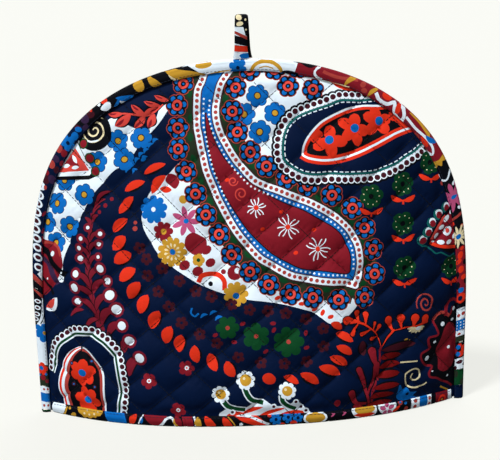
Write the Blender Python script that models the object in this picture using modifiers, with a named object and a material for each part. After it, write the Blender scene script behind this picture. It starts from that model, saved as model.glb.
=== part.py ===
"""A quilted cotton tea cosy, standing open on its hem as it does over a pot.

Two dome-shaped panels are cut flat from ready-quilted cloth. Each has its hem bound with a bias strip. The panels
are laid lining to lining and a second bias strip, folded over both raw edges, joins them from one hem corner over the
top to the other. A loop of the same strip stands on the seam at the top.

Units are metres. +Z is up, the front panel faces -Y, and the origin is on the floor under the middle of the cosy.
Flat cloth is measured by u, across from the middle of a panel, and v, up from the hem.
"""

import math

import bmesh
import bpy
import numpy as np
from mathutils import Vector
from mathutils.geometry import delaunay_2d_cdt

# Driving dimensions of the cosy
FLAT_WIDTH = 0.362
HEIGHT = 0.280
DOME_POWER = 4.2
HEM_OPENING = 0.100
QUILT_SPACING = (0.0272, 0.0244)
BINDING_WIDTH = 0.009

# Cloth thicknesses
STITCHED_THICKNESS = 0.0020
LOFT_THICKNESS = 0.0062
BINDING_CLOTH = 0.0011
LOOP_CLOTH = 0.0026
GAP = 0.0003
FOLD_SHOULDER = 0.0005

# How the panels bow apart when the cosy stands open
BOW_POWER = 2.3
ARC_SHARE = BOW_POWER ** 2 / (2 * (2 * BOW_POWER - 1))
SEAM_CREASE = 0.02
SEAM_OFFSET = (STITCHED_THICKNESS + GAP) / 2
HEM_HALF_THICKNESS = STITCHED_THICKNESS / 2 + GAP + BINDING_CLOTH
BOW = HEM_OPENING / 2 - SEAM_OFFSET - HEM_HALF_THICKNESS
SWAY = 0.006

# Where the panel's own cloth starts and where the bindings let go of it
RAW_EDGE = BINDING_CLOTH + GAP
MARGIN = BINDING_WIDTH + 0.0002
LOFT_RISE = 0.011

# Quilting of each panel: the way across each of the two runs of lines, and where one crossing lies on the flat cloth
QUILT_ACROSS = (math.radians(45), math.radians(129))
LATTICE_STEPS = 3
LATTICE_CLEARANCE = 0.0026
CROSSING = {"front_panel": (-0.0428, 0.0435), "back_panel": (0.004, 0.047)}

# Soft hollows where the quilted cloth sags between the pot and the seam
HOLLOW_COLUMNS = ("u", "v", "radius", "depth")
HOLLOWS = {
    "front_panel": ((-0.095, 0.185, 0.050, 0.0030), (0.110, 0.150, 0.055, 0.0026), (0.030, 0.235, 0.040, 0.0018)),
    "back_panel": ((0.090, 0.190, 0.052, 0.0030), (-0.105, 0.140, 0.050, 0.0024), (-0.020, 0.230, 0.042, 0.0016)),
}

# The standing loop on the top seam
LOOP_RISE = 0.033
LOOP_WIDTH = 0.0095
LOOP_FLARE = 0.0035
LOOP_FLARE_HEIGHT = 0.004
LOOP_FOOT = 0.0017
LOOP_BELLY = 0.0062
LOOP_SHIFT = 0.0024
LOOP_SHOULDER = 0.8
LOOP_CROWN = 0.4

# Mesh fineness
SEAM_STATIONS = 47
HEM_STATIONS = 28
LOOP_STATIONS = 24


def clear_scene():
    for old in list(bpy.data.objects):
        bpy.data.objects.remove(old)


def cloth_material(name, colour, roughness):
    """A matte woven cloth."""
    material = bpy.data.materials.new(name)
    material.use_nodes = True
    shader = material.node_tree.nodes["Principled BSDF"]
    shader.inputs["Base Color"].default_value = (*colour, 1)
    shader.inputs["Roughness"].default_value = roughness
    shader.inputs["Metallic"].default_value = 0
    material.diffuse_color = (*colour, 1)
    return material


def smooth(value):
    value = min(1.0, max(0.0, value))
    return value * value * (3 - 2 * value)


def half_width(v, inset=0.0):
    """Half the flat width of the dome at height v, for an outline that lies inset inside the bound edge."""
    share = min(1.0, max(0.0, v) / (HEIGHT - inset))
    return (FLAT_WIDTH / 2 - inset) * math.sqrt(1 - share ** DOME_POWER)


def dome_point(turn, inset=0.0):
    """A point of the inset dome outline on the flat cloth: turn 0 is the right hem corner and pi the left."""
    u = (FLAT_WIDTH / 2 - inset) * math.cos(turn)
    v = (HEIGHT - inset) * max(0.0, math.sin(turn)) ** (2 / DOME_POWER)
    return u, v


def dome_turns():
    """The turns of the seam's stations, evenly spaced along the dome from the right hem corner to the left."""
    share = np.linspace(-1, 1, 4001)
    turns = math.pi / 2 * (1 + np.sign(share) * (1 - (1 - np.abs(share)) ** 3))
    points = np.array([dome_point(turn) for turn in turns])
    length = np.concatenate([[0], np.cumsum(np.hypot(*np.diff(points, axis=0).T))])
    return np.interp(np.linspace(0, length[-1], SEAM_STATIONS), length, turns)


def openness(u, v):
    """How far a point is let out from the seam: 0 under the bindings, 1 at the middle of the hem."""
    half = half_width(v, MARGIN)
    if v >= HEIGHT - MARGIN or abs(u) >= half:
        return 0.0
    return (1 - (abs(u) / half) ** BOW_POWER) * (1 - (max(v, 0) / (HEIGHT - MARGIN)) ** 2)


def hollow_depth(panel, u, v):
    depth = 0.0
    for row in HOLLOWS[panel]:
        hollow = dict(zip(HOLLOW_COLUMNS, row))
        distance = math.hypot(u - hollow["u"], v - hollow["v"])
        depth += hollow["depth"] * math.exp(-((distance / hollow["radius"]) ** 2))
    return depth * smooth(openness(u, v) * 5)


def seam_sway(u, v):
    """The hem corners stand a little turned against the top of the seam."""
    return SWAY * u / (FLAT_WIDTH / 2) * (1 - min(1.0, v / HEIGHT)) ** 2


def drawn_in(u, v):
    """The x that a flat point comes to, because the bowed cloth draws its edges towards the middle."""
    depth = BOW * (1 - min(1.0, v / HEIGHT) ** 2)
    half = max(half_width(v), 1e-4)
    share = min(1.0, abs(u) / half) ** (2 * BOW_POWER - 1)
    return u - math.copysign(ARC_SHARE * depth ** 2 / half * share, u)


def stand(panel, u, v):
    """Where the flat cloth point (u, v) of a panel's middle layer comes to in the standing cosy."""
    side = -1 if panel == "front_panel" else 1
    free = openness(u, v)
    bow = BOW * (1 + SEAM_CREASE) * free ** 2 / (free + SEAM_CREASE) - hollow_depth(panel, u, v)
    return Vector((drawn_in(u, v), side * (SEAM_OFFSET + bow) + seam_sway(u, v), v))


def quilt_axes(panel, u, v):
    """The flat point counted in lines of each run: whole numbers lie on stitch lines."""
    du, dv = u - CROSSING[panel][0], v - CROSSING[panel][1]
    return [(du * math.cos(way) + dv * math.sin(way)) / step for way, step in zip(QUILT_ACROSS, QUILT_SPACING)]


def edge_distance(u, v):
    """About how far a flat point lies inside the line where the bindings let go."""
    side = half_width(v, MARGIN) - abs(u)
    share = min(1.0, abs(u) / (FLAT_WIDTH / 2 - MARGIN))
    top = (HEIGHT - MARGIN) * (1 - share ** 2) ** (1 / DOME_POWER) - v
    slope = math.hypot(max(side, 1e-9), max(top, 1e-9))
    to_dome = max(side, 0) * max(top, 0) / slope
    return min(to_dome, v - MARGIN)


def loft(panel, u, v):
    """The share of full padding at a flat point: none on a stitch line or under a binding."""
    first, second = quilt_axes(panel, u, v)
    pillow = math.sqrt(abs(math.sin(math.pi * first) * math.sin(math.pi * second)))
    return pillow * smooth(edge_distance(u, v) / LOFT_RISE)


def hem_stations(panel):
    """The flat u of the hem's stations, closer at the ends. The last lie where the panel has left the seam far
    enough for its hem binding to pass behind it."""
    end = FLAT_WIDTH / 2 - MARGIN
    while abs(stand(panel, end, 0).y - seam_sway(end, 0)) < HEM_HALF_THICKNESS + GAP:
        end -= 0.0001
    shares = np.linspace(-1, 1, HEM_STATIONS)
    return end * (shares + np.sin(math.pi / 2 * shares)) / 2


def panel_loop(panel, inset, bottom):
    """A closed loop on the flat cloth: the inset dome at the seam's stations, shut along the hem's stations."""
    half = half_width(bottom, inset)
    dome = [dome_point(turn, inset) for turn in dome_turns()]
    above = [(u, v) for u, v in dome if v > bottom + LATTICE_CLEARANCE]
    hem = list(hem_stations(panel))
    if inset < MARGIN:
        let_go = half_width(bottom, MARGIN)
        hem = [-let_go] + hem + [let_go]
    return [(half, bottom)] + above + [(-half, bottom)] + [(u, bottom) for u in hem]


def lattice_points(panel):
    """Points on the quilting lines and between them, inside the line where the bindings let go."""
    reach = math.ceil(math.hypot(FLAT_WIDTH, HEIGHT) / min(QUILT_SPACING)) * LATTICE_STEPS
    first_way, second_way = QUILT_ACROSS
    slant = math.sin(second_way - first_way)
    points = []
    for i in range(-reach, reach + 1):
        for j in range(-reach, reach + 1):
            a, b = (k * step / LATTICE_STEPS for k, step in zip((i, j), QUILT_SPACING))
            u = CROSSING[panel][0] + (a * math.sin(second_way) - b * math.sin(first_way)) / slant
            v = CROSSING[panel][1] + (b * math.cos(first_way) - a * math.cos(second_way)) / slant
            if edge_distance(u, v) > LATTICE_CLEARANCE:
                points.append((u, v))
    return points


def add_object(name, mesh, material, collection):
    mesh.materials.append(material)
    mesh.shade_smooth()
    made = bpy.data.objects.new(name, mesh)
    collection.objects.link(made)
    return made


def quilted_panel(name, material, collection):
    """One panel: its quilting drawn on the flat dome, stood up, and padded between the stitch lines."""
    raw_edge = panel_loop(name, RAW_EDGE, RAW_EDGE)
    let_go = panel_loop(name, MARGIN, MARGIN)
    flat = [Vector(p) for p in raw_edge + let_go + lattice_points(name)]
    loops = [list(range(len(raw_edge))), list(range(len(raw_edge), len(raw_edge) + len(let_go)))]
    points, _, faces, *_ = delaunay_2d_cdt(flat, [], loops, 1, 1e-7)
    bm = bmesh.new()
    verts = [bm.verts.new((p.x, p.y, 0)) for p in points]
    for face in faces:
        bm.faces.new([verts[k] for k in face])
    bmesh.ops.join_triangles(bm, faces=bm.faces, angle_face_threshold=0.1, angle_shape_threshold=0.1)
    padding = bm.verts.layers.deform.new()
    for vert in bm.verts:
        u, v = vert.co.xy
        vert[padding][0] = loft(name, u, v)
        vert.co = stand(name, u, v)
    mesh = bpy.data.meshes.new(name)
    bm.to_mesh(mesh)
    bm.free()
    panel = add_object(name, mesh, material, collection)
    panel.vertex_groups.new(name="padding")
    solid = panel.modifiers.new("padding", "SOLIDIFY")
    solid.thickness = LOFT_THICKNESS
    solid.offset = 0
    solid.vertex_group = "padding"
    solid.thickness_vertex_group = STITCHED_THICKNESS / LOFT_THICKNESS
    return panel


def folded_strip(name, profile, stations, place, thickness, material, collection):
    """A strip of cloth: a grid whose columns follow a folded profile and whose rows follow the seam."""
    bm = bmesh.new()
    bmesh.ops.create_grid(bm, x_segments=len(profile) - 1, y_segments=stations - 1, size=1)
    for vert in bm.verts:
        fold = profile[round((vert.co.x + 1) / 2 * (len(profile) - 1))]
        vert.co = place(fold, (vert.co.y + 1) / 2)
    mesh = bpy.data.meshes.new(name)
    bm.to_mesh(mesh)
    bm.free()
    strip = add_object(name, mesh, material, collection)
    solid = strip.modifiers.new("cloth", "SOLIDIFY")
    solid.thickness = thickness
    solid.offset = 0
    solid.use_even_offset = True
    return strip


def fold_profile(half_gap):
    """A strip folded in a U: each row is how deep it lies from the bound edge and how far it stands out."""
    out = half_gap + BINDING_CLOTH / 2
    bottom = BINDING_CLOTH / 2
    one_side = [
        (BINDING_WIDTH, out),
        (BINDING_WIDTH / 2, out),
        (bottom + FOLD_SHOULDER, out),
        (bottom, out - FOLD_SHOULDER),
    ]
    return one_side + [(depth, -stand_out) for depth, stand_out in reversed(one_side)]


def edge_binding(material, collection):
    """The strip over both panels' raw edges, from the right hem corner over the top to the left."""
    turns = dome_turns()
    profile = fold_profile(SEAM_OFFSET + STITCHED_THICKNESS / 2 + GAP)

    def place(fold, share):
        depth, stand_out = fold
        u, v = dome_point(turns[round(share * (SEAM_STATIONS - 1))], depth)
        return Vector((drawn_in(u, v), stand_out + seam_sway(u, v), max(v, GAP)))

    return folded_strip("edge_binding", profile, SEAM_STATIONS, place, BINDING_CLOTH, material, collection)


def hem_binding(name, panel, material, collection):
    """The strip folded up over one panel's hem; its fold is what the cosy stands on."""
    stations = hem_stations(panel)
    side = -1 if panel == "front_panel" else 1
    profile = fold_profile(STITCHED_THICKNESS / 2 + GAP)

    def place(fold, share):
        depth, stand_out = fold
        u = stations[round(share * (HEM_STATIONS - 1))]
        here = stand(panel, u, depth)
        ahead = stand(panel, u + 0.001, depth) - stand(panel, u - 0.001, depth)
        outward = Vector((-ahead.y, ahead.x, 0)).normalized() * side
        return here + outward * stand_out

    return folded_strip(name, profile, HEM_STATIONS, place, BINDING_CLOTH, material, collection)


def hanging_loop(material, collection):
    """A flat folded strip that rises from the seam, bellies out and comes back beside its own foot."""
    columns = [-1.0, -0.5, 0.5, 1.0]
    foot = HEIGHT + 2 * GAP

    def place(column, share):
        turn = math.pi * share
        rise = math.sin(turn) ** LOOP_SHOULDER
        belly = LOOP_FOOT + (LOOP_BELLY - LOOP_FOOT) * math.sin(math.pi / 2 * rise)
        y = math.copysign(belly * abs(math.cos(turn)) ** LOOP_CROWN, share - 0.5)
        z = foot + (LOOP_RISE - LOOP_CLOTH / 2) * rise
        flare = LOOP_FLARE * math.exp(-(z - foot) / LOOP_FLARE_HEIGHT)
        x = LOOP_SHIFT * (share - 0.5) + column * (LOOP_WIDTH + flare) / 2
        return Vector((x, y, z))

    strip = folded_strip("hanging_loop", columns, LOOP_STATIONS, place, LOOP_CLOTH, material, collection)
    strip.modifiers["cloth"].use_even_offset = False
    return strip


def build_cosy():
    clear_scene()
    cosy = bpy.data.collections.new("tea_cosy")
    bpy.context.scene.collection.children.link(cosy)
    print_cloth = cloth_material("printed_quilted_cotton", (0.012, 0.028, 0.105), 0.85)
    bias_cloth = cloth_material("printed_bias_cotton", (0.24, 0.030, 0.035), 0.85)
    quilted_panel("front_panel", print_cloth, cosy)
    quilted_panel("back_panel", print_cloth, cosy)
    hem_binding("front_hem_binding", "front_panel", bias_cloth, cosy)
    hem_binding("back_hem_binding", "back_panel", bias_cloth, cosy)
    edge_binding(bias_cloth, cosy)
    hanging_loop(bias_cloth, cosy)


build_cosy()
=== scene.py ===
"""The looks of a quilted cotton tea cosy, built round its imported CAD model.

Units are metres. +Z is up, the front faces -Y, and the origin is on the floor under the middle of the cosy.
The print is laid out on the flat cloth in millimetres: across from a panel's middle, and up from its hem.
"""

import math

import bpy
import numpy as np
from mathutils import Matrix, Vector
from mathutils.geometry import delaunay_2d_cdt


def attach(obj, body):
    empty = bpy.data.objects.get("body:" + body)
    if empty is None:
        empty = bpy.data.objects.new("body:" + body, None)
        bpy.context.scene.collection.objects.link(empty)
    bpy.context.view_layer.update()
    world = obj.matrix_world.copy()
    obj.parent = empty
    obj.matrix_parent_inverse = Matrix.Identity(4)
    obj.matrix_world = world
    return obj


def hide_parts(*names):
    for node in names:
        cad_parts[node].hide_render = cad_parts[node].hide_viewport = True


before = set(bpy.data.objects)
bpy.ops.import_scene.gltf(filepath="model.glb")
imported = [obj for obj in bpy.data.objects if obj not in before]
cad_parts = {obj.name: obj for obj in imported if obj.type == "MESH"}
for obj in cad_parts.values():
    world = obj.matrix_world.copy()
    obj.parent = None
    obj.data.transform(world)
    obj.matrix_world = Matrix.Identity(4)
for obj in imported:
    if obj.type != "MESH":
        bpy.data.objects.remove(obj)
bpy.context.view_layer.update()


# Front panel: printed cotton over wadding and a plain inner cotton, sewn together in skewed diamonds.
# It is cut as a flat dome and stands bowed out on its hem. The print is drawn below by its own formulas.
FLAT_WIDTH = 0.362
HEIGHT = 0.280
DOME_POWER = 4.2
HEM_OPENING = 0.100
QUILT_SPACING = (0.0272, 0.0244)
QUILT_ACROSS = (math.radians(45), math.radians(129))
BINDING_WIDTH = 0.009
STITCHED_THICKNESS = 0.0020
LOFT_THICKNESS = 0.0100
BINDING_CLOTH = 0.0011
GAP = 0.0003
BOW_POWER = 2.3
ARC_SHARE = BOW_POWER ** 2 / (2 * (2 * BOW_POWER - 1))
SEAM_CREASE = 0.02
SEAM_OFFSET = (STITCHED_THICKNESS + GAP) / 2
HEM_HALF_THICKNESS = STITCHED_THICKNESS / 2 + GAP + BINDING_CLOTH
BOW = HEM_OPENING / 2 - SEAM_OFFSET - HEM_HALF_THICKNESS
SWAY = 0.006
RAW_EDGE = BINDING_CLOTH + GAP
MARGIN = BINDING_WIDTH + 0.0002
LOFT_RISE = 0.011
PUCKER_DEPTH = 0.00022
PUCKER_START = 0.0012
PUCKER_REACH = 0.0035
PUCKER_LENGTH = 0.0068
MM = 0.001
LEAST = 1e-6
# Stitches are drawn about twice as thick as real thread, so that their lines show as they do in the photo
STITCH_PITCH = 0.0031
STITCH_LENGTH = 0.0032
THREAD_THICKNESS = 0.00074
THREAD_LIFT = 0.00012
LINE_REACH = 0.4
LINE_STEP = 0.0015
LINE_INSET = 0.0001
# Rows of mesh in each quilting diamond, on the printed face and on the plain one
PRINTED_CELLS = 11
PLAIN_CELLS = 6
GRID_INSET = 0.0006
# Where two stitch lines cross, and the hollows: across, up, how wide each is and how deep
CROSSING = {"front_panel": (-0.0428, 0.0435), "back_panel": (0.004, 0.047)}
HOLLOWS = {
    "front_panel": (
        (-0.095, 0.185, 0.050, 0.0030),
        (0.110, 0.150, 0.055, 0.0026),
        (0.030, 0.235, 0.040, 0.0018),
    ),
    "back_panel": (
        (0.090, 0.190, 0.052, 0.0030),
        (-0.105, 0.140, 0.050, 0.0024),
        (-0.020, 0.230, 0.042, 0.0016),
    ),
}
INKS = {
    "navy": "#001131",
    "coral": "#c9423a",
    "dim": "#6c0b0e",
    "wine": "#6f1526",
    "forest": "#05381d",
    "black": "#05070f",
    "white": "#dae8f3",
    "blue": "#0562b2",
    "teal": "#0d5a58",
    "green": "#073f1f",
    "olive": "#222c1e",
    "orange": "#d22f18",
    "rust": "#a03a34",
    "maroon": "#7c1623",
    "plum": "#3c101c",
    "mustard": "#bd8f2c",
    "cream": "#dcd0a8",
    "pink": "#ae4b74",
    "violet": "#33203f",
    "lining": "#e9e6dc",
}


def linear_colour(code):
    """The linear light of an sRGB colour written as #rrggbb."""
    parts = np.array([int(code[k:k + 2], 16) for k in (1, 3, 5)]) / 255
    return np.where(parts <= 0.04045, parts / 12.92, ((parts + 0.055) / 1.055) ** 2.4)


def smooth(share):
    share = np.clip(share, 0, 1)
    return share * share * (3 - 2 * share)


def half_width(v, inset=0.0):
    """Half the flat width of the dome at height v, for an outline that lies inset inside the bound edge."""
    share = np.clip(v / (HEIGHT - inset), 0, 1)
    return (FLAT_WIDTH / 2 - inset) * np.sqrt(1 - share ** DOME_POWER)


def dome_point(turn, inset=0.0):
    """Points of the inset dome outline on the flat cloth: turn 0 is its right hem corner, pi its left."""
    across = (FLAT_WIDTH / 2 - inset) * np.cos(turn)
    up = (HEIGHT - inset) * np.maximum(np.sin(turn), 0) ** (2 / DOME_POWER)
    return across, up


def openness(u, v):
    """How far a point is let out from the seam: 0 under the bindings, 1 at the middle of the hem."""
    share = np.clip(np.abs(u) / np.maximum(half_width(v, MARGIN), LEAST), 0, 1)
    return (1 - share ** BOW_POWER) * (1 - np.clip(v / (HEIGHT - MARGIN), 0, 1) ** 2)


def seam_sway(u, v):
    """The hem corners stand a little turned against the top of the seam."""
    return SWAY * u / (FLAT_WIDTH / 2) * (1 - np.clip(v / HEIGHT, 0, 1)) ** 2


def drawn_in(u, v):
    """The x that a flat point comes to, because the bowed cloth draws its edges towards the middle."""
    depth = BOW * (1 - np.clip(v / HEIGHT, 0, 1) ** 2)
    half = np.maximum(half_width(v), 1e-4)
    share = np.clip(np.abs(u) / half, 0, 1) ** (2 * BOW_POWER - 1)
    return u - np.sign(u) * ARC_SHARE * depth ** 2 / half * share


def stand(panel, u, v):
    """Where flat cloth points of a panel's middle layer come to in the standing cosy."""
    side = -1 if panel == "front_panel" else 1
    free = openness(u, v)
    hollow = sum(d * np.exp(-((u - a) ** 2 + (v - b) ** 2) / r ** 2) for a, b, r, d in HOLLOWS[panel])
    bow = BOW * (1 + SEAM_CREASE) * free ** 2 / (free + SEAM_CREASE) - hollow * smooth(free * 5)
    return np.stack([drawn_in(u, v), side * (SEAM_OFFSET + bow) + seam_sway(u, v), v + 0 * u], -1)


def facing(surface, u, v, step=0.0004):
    """The unit normals of a surface, on the side where u runs right and v runs up."""
    along = surface(u + step, v) - surface(u - step, v)
    up = surface(u, v + step) - surface(u, v - step)
    normal = np.cross(along, up)
    return normal / np.maximum(np.linalg.norm(normal, axis=-1, keepdims=True), 1e-15)


def edge_distance(u, v):
    """About how far flat points lie inside the line where the bindings let go."""
    side = half_width(v, MARGIN) - np.abs(u)
    share = np.clip(np.abs(u) / (FLAT_WIDTH / 2 - MARGIN), 0, 1)
    top = (HEIGHT - MARGIN) * (1 - share ** 2) ** (1 / DOME_POWER) - v
    slope = np.hypot(np.maximum(side, 1e-9), np.maximum(top, 1e-9))
    return np.minimum(np.maximum(side, 0) * np.maximum(top, 0) / slope, v - MARGIN)


def quilt_axes(panel, u, v):
    """Flat points counted in lines of each run of stitching: whole numbers lie on stitch lines."""
    du, dv = u - CROSSING[panel][0], v - CROSSING[panel][1]
    return [
        (du * math.cos(way) + dv * math.sin(way)) / step for way, step in zip(QUILT_ACROSS, QUILT_SPACING)
    ]


def padding(panel, u, v):
    """Half the quilted thickness: full between stitch lines, flat on them, with puckers beside them."""
    axes = quilt_axes(panel, u, v)
    edge = smooth(edge_distance(u, v) / LOFT_RISE)
    pillow = np.sqrt(np.abs(np.sin(math.pi * axes[0]) * np.sin(math.pi * axes[1])))
    pucker = 0
    for line, way, step in zip(axes, QUILT_ACROSS, QUILT_SPACING):
        away = np.abs(line - np.round(line)) * step
        run = (v * math.cos(way) - u * math.sin(way)) / PUCKER_LENGTH * 2 * math.pi
        # The odd numbers keep the puckers of neighbouring stitch lines out of step
        wave = np.sin(run + 2.1 * np.sin(0.37 * run + 2.3 * np.round(line)) + 1.9 * np.round(line))
        pucker = pucker + wave * np.exp(-away / PUCKER_REACH) * smooth(away / PUCKER_START)
    loft = (LOFT_THICKNESS - STITCHED_THICKNESS) * pillow * edge
    return (STITCHED_THICKNESS + loft) / 2 + PUCKER_DEPTH * pucker * edge


def panel_face(panel, side):
    """The surface of a panel's printed (side 1) or inner face (side -1), as a function of flat points."""
    outward = 1 if panel == "front_panel" else -1

    def middle(u, v):
        return stand(panel, u, v)

    def face(u, v):
        return middle(u, v) + outward * side * facing(middle, u, v) * padding(panel, u, v)[..., None]

    return face


CURVE_STEP = 1.6


def smooth_line(points, closed=False):
    """Points in small steps along a smooth curve through the given ones."""
    p = np.array(points, float)
    p = np.vstack([p[-1:], p, p[:2]]) if closed else np.vstack([2 * p[0] - p[1], p, 2 * p[-1] - p[-2]])
    parts = []
    for a, b, c, d in zip(p, p[1:], p[2:], p[3:]):
        count = max(2, math.ceil(np.hypot(*(c - b)) / CURVE_STEP))
        t = np.arange(count)[:, None] / count
        cubic = (3 * b - a - 3 * c + d) * t ** 3
        parts.append((2 * b + (c - a) * t + (2 * a - 5 * b + 4 * c - d) * t ** 2 + cubic) / 2)
    return np.vstack(parts if closed else parts + [p[-2:-1]])


def beside(path, distance):
    """A path that runs to the left of another, or to its right where the distance is below 0."""
    ahead = np.gradient(path, axis=0)
    left = np.stack([-ahead[:, 1], ahead[:, 0]], 1) / np.maximum(np.hypot(*ahead.T), LEAST)[:, None]
    return path + left * np.broadcast_to(distance, len(path))[:, None]


def spaced(path, pitch, start):
    """Points at even distances along a path."""
    length = np.concatenate([[0], np.cumsum(np.hypot(*np.diff(path, axis=0).T))])
    at = np.arange(start, length[-1], pitch)
    return np.stack([np.interp(at, length, path[:, k]) for k in (0, 1)], 1)


shapes = []


def paint(ink, outline):
    shapes.append((ink, np.array(outline, float)))


def blot(ink, points):
    """A patch with a smooth outline through the given points."""
    paint(ink, smooth_line(points, closed=True))


def ribbon(ink, path, width):
    """A band along a path; the width is one number or one for each point."""
    paint(ink, np.vstack([beside(path, np.array(width) / 2), beside(path, -np.array(width) / 2)[::-1]]))


def disc(ink, x, y, r, sides=12, squash=1.0, turn=0.0):
    a = np.arange(sides) * 2 * math.pi / sides
    p, q = r * np.cos(a), r * squash * np.sin(a)
    c, s = math.cos(math.radians(turn)), math.sin(math.radians(turn))
    paint(ink, np.stack([x + p * c - q * s, y + p * s + q * c], 1))


def flower(ink, x, y, reach, notch, petals, turn, roundness=0.55):
    """One outline of round petals that reach out from the notches between them."""
    a = np.arange(petals * 8) * 2 * math.pi / (petals * 8)
    r = notch + (reach - notch) * np.abs(np.cos(petals * a / 2)) ** roundness
    a = a + math.radians(turn)
    paint(ink, np.stack([x + r * np.cos(a), y + r * np.sin(a)], 1))


def leaf(ink, foot, tip, width, bend=0.0, fullness=0.75):
    """A pointed leaf from its foot to its tip, bent to its left by a share of its length."""
    foot, tip = np.array(foot, float), np.array(tip, float)
    t = np.linspace(0, 1, 10)
    left = np.array([foot[1] - tip[1], tip[0] - foot[0]])
    middle = foot + (tip - foot) * t[:, None] + left * (bend * np.sin(math.pi * t))[:, None]
    reach = left / np.hypot(*left) * (width / 2 * np.sin(math.pi * t) ** fullness)[:, None]
    paint(ink, np.vstack([middle + reach, (middle - reach)[::-1][1:-1]]))


def curl(ink, x, y, r, turns, width, start, inner):
    """A spiral line that winds out from the middle."""
    t = np.linspace(0, 1, int(18 * abs(turns)) + 4)
    a = math.radians(start) + 2 * math.pi * turns * t
    reach = r * (inner + (1 - inner) * t)
    path = np.stack([x + reach * np.cos(a), y + reach * np.sin(a)], 1)
    ribbon(ink, path, width * (0.6 + 0.4 * np.sin(math.pi * t)))


def star(ink, x, y, reach, width, petals, turn, fullness=0.5):
    """A flower of separate petals."""
    for k in range(petals):
        a = math.radians(turn + 360 * k / petals)
        foot = (x + math.cos(a), y + math.sin(a))
        tip = (x + reach * math.cos(a), y + reach * math.sin(a))
        leaf(ink, foot, tip, width, 0.0, fullness)


def lobes(ink, ways, thin=0.4):
    """Branches that swell towards a round tip, on a black rim; each is its points and its tip's width."""
    for shade, more in (("black", 1.8), (ink, 0)):
        for points, width in ways:
            path = smooth_line(points) if len(points) > 2 else np.linspace(points[0], points[1], 8)
            swell = width * (thin + (1 - thin) * np.linspace(0, 1, len(path)) ** 1.5) + more
            ribbon(shade, path, swell)
            disc(shade, *path[-1], swell[-1] / 2, 12)


def rosette(x, y, turn):
    """The small blue flower with a thick coral ring that lines the big paisley."""
    flower("rust", x, y, 8.8, 7.6, 6, turn)
    flower("black", x, y, 8.2, 6.8, 6, turn)
    for k in range(6):
        a = math.radians(turn + 60 * k)
        disc("blue", x + 5.6 * math.cos(a), y + 5.6 * math.sin(a), 2.0, 9)
    disc("black", x, y, 4.9)
    disc("coral", x, y, 4.1)
    disc("black", x, y, 2.1, 9)
    disc("blue", x, y, 0.9, 6)


def blue_bloom(x, y, turn):
    """The plain blue flower that is strewn on the white grounds."""
    flower("navy", x, y, 8.8, 7.0, 6, turn)
    flower("blue", x, y, 8.3, 6.5, 6, turn)
    disc("black", x, y, 2.9, 10)
    disc("mustard", x, y, 2.2, 10)


# White grounds: the flowered one upper left, the crescent, and the one between the two big paisleys
blot("white", [
    (-60, 239), (-66, 231), (-76, 222), (-85, 210), (-92, 202), (-100, 198), (-110, 189),
    (-122, 175), (-130, 163), (-133, 155), (-138, 148), (-142, 138), (-147, 124), (-150, 110),
    (-162, 118), (-182, 150), (-184, 190), (-165, 222), (-130, 236), (-110, 234), (-103, 237),
    (-96, 236), (-88, 231), (-78, 228), (-69, 232), (-63, 247), (-57, 245),
])
blot("white", [
    (-58, 195), (-65, 190), (-74, 180), (-80, 165), (-80, 157), (-77, 150), (-73, 143), (-69, 137),
    (-64, 131), (-58, 126), (-52, 122), (-45, 117.5), (-38, 113), (-30, 109.5), (-20, 106),
    (-10, 103), (0, 100.5), (10, 99), (20, 97), (30, 95), (40, 92), (48, 89), (55, 84), (60, 80),
    (68, 78), (76, 84), (84, 96), (68.5, 99), (48.8, 102), (31.8, 106), (15.5, 113), (1.5, 123),
    (-12, 136), (-21, 152), (-30.5, 166), (-38, 182), (-45, 199), (-50, 203),
])
blot("white", [
    (-4, 262), (10, 268), (28, 270), (38, 266), (60, 264), (75, 266),
    (96, 262), (108, 250), (95, 248), (70, 250), (55, 245), (39, 239),
    (28, 228), (25, 215), (26, 203), (20, 197), (8, 203), (-2, 218), (-8, 236),
])
for x, y, turn in (
    (10.5, 251.5, 10), (23.5, 238, 30), (11.5, 224.5, 15), (0, 238, 0), (-98, 220, 20), (-79, 222, 0),
    (-115, 204, 10), (-93, 206, 25), (-143, 190, 0), (-126, 179, 12), (-150, 172, 5), (-140, 154, 20),
    (-160.5, 157, 0), (-153, 141, 15), (-170, 184, 0), (-172, 132, 10), (-158, 205, 0),
):
    blue_bloom(x, y, turn)

# Flowers strewn on the crescent
flower("blue", -70.5, 168.5, 10.8, 8.3, 9, 12)
disc("white", -70.5, 168.5, 1.8, 9)
flower("maroon", -63.5, 152, 7.8, 5.6, 7, 5)
disc("mustard", -63.5, 152, 2.3, 9)
star("pink", -46, 160, 11.5, 4.4, 7, 100, 0.62)
disc("blue", -46, 160, 2.0, 9)
flower("mustard", -57, 137, 11.4, 8.6, 11, 0)
flower("cream", -57, 137, 6.6, 3.2, 11, 0, 0.8)
flower("mustard", -57, 137, 5.6, 3.0, 11, 16, 0.8)
disc("blue", -57, 137, 2.4, 10)
blot("maroon", [
    (-46, 148), (-41, 151.5), (-35, 149), (-31, 146), (-31, 140), (-36, 134.5), (-43, 136), (-47, 141),
])
for x, y, r in ((-31, 138.5, 4.2), (-28, 129, 4.0), (-38, 122.5, 4.6), (-48, 127, 4.6)):
    disc("maroon", x, y, r, 10, 0.8, 30)
flower("mustard", -37, 131, 4.9, 4.0, 5, 0)
disc("green", -37, 131, 1.5, 8)
ribbon("orange", smooth_line([
    (-38, 114), (-35, 119), (-29, 120.5), (-22, 119.5), (-18, 115), (-18, 108),
]), 3.6)
disc("black", -28.5, 113, 1.9, 9)
disc("maroon", -18.5, 122, 2.0, 9)
disc("maroon", -10, 121, 5.6, 12)
disc("white", -8, 122.5, 2.2, 9)
flower("mustard", -9.5, 105, 9.6, 7.2, 9, 0)
disc("blue", -9.5, 103.5, 2.6, 10)
disc("mustard", -47.5, 176, 3.2, 10)
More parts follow.
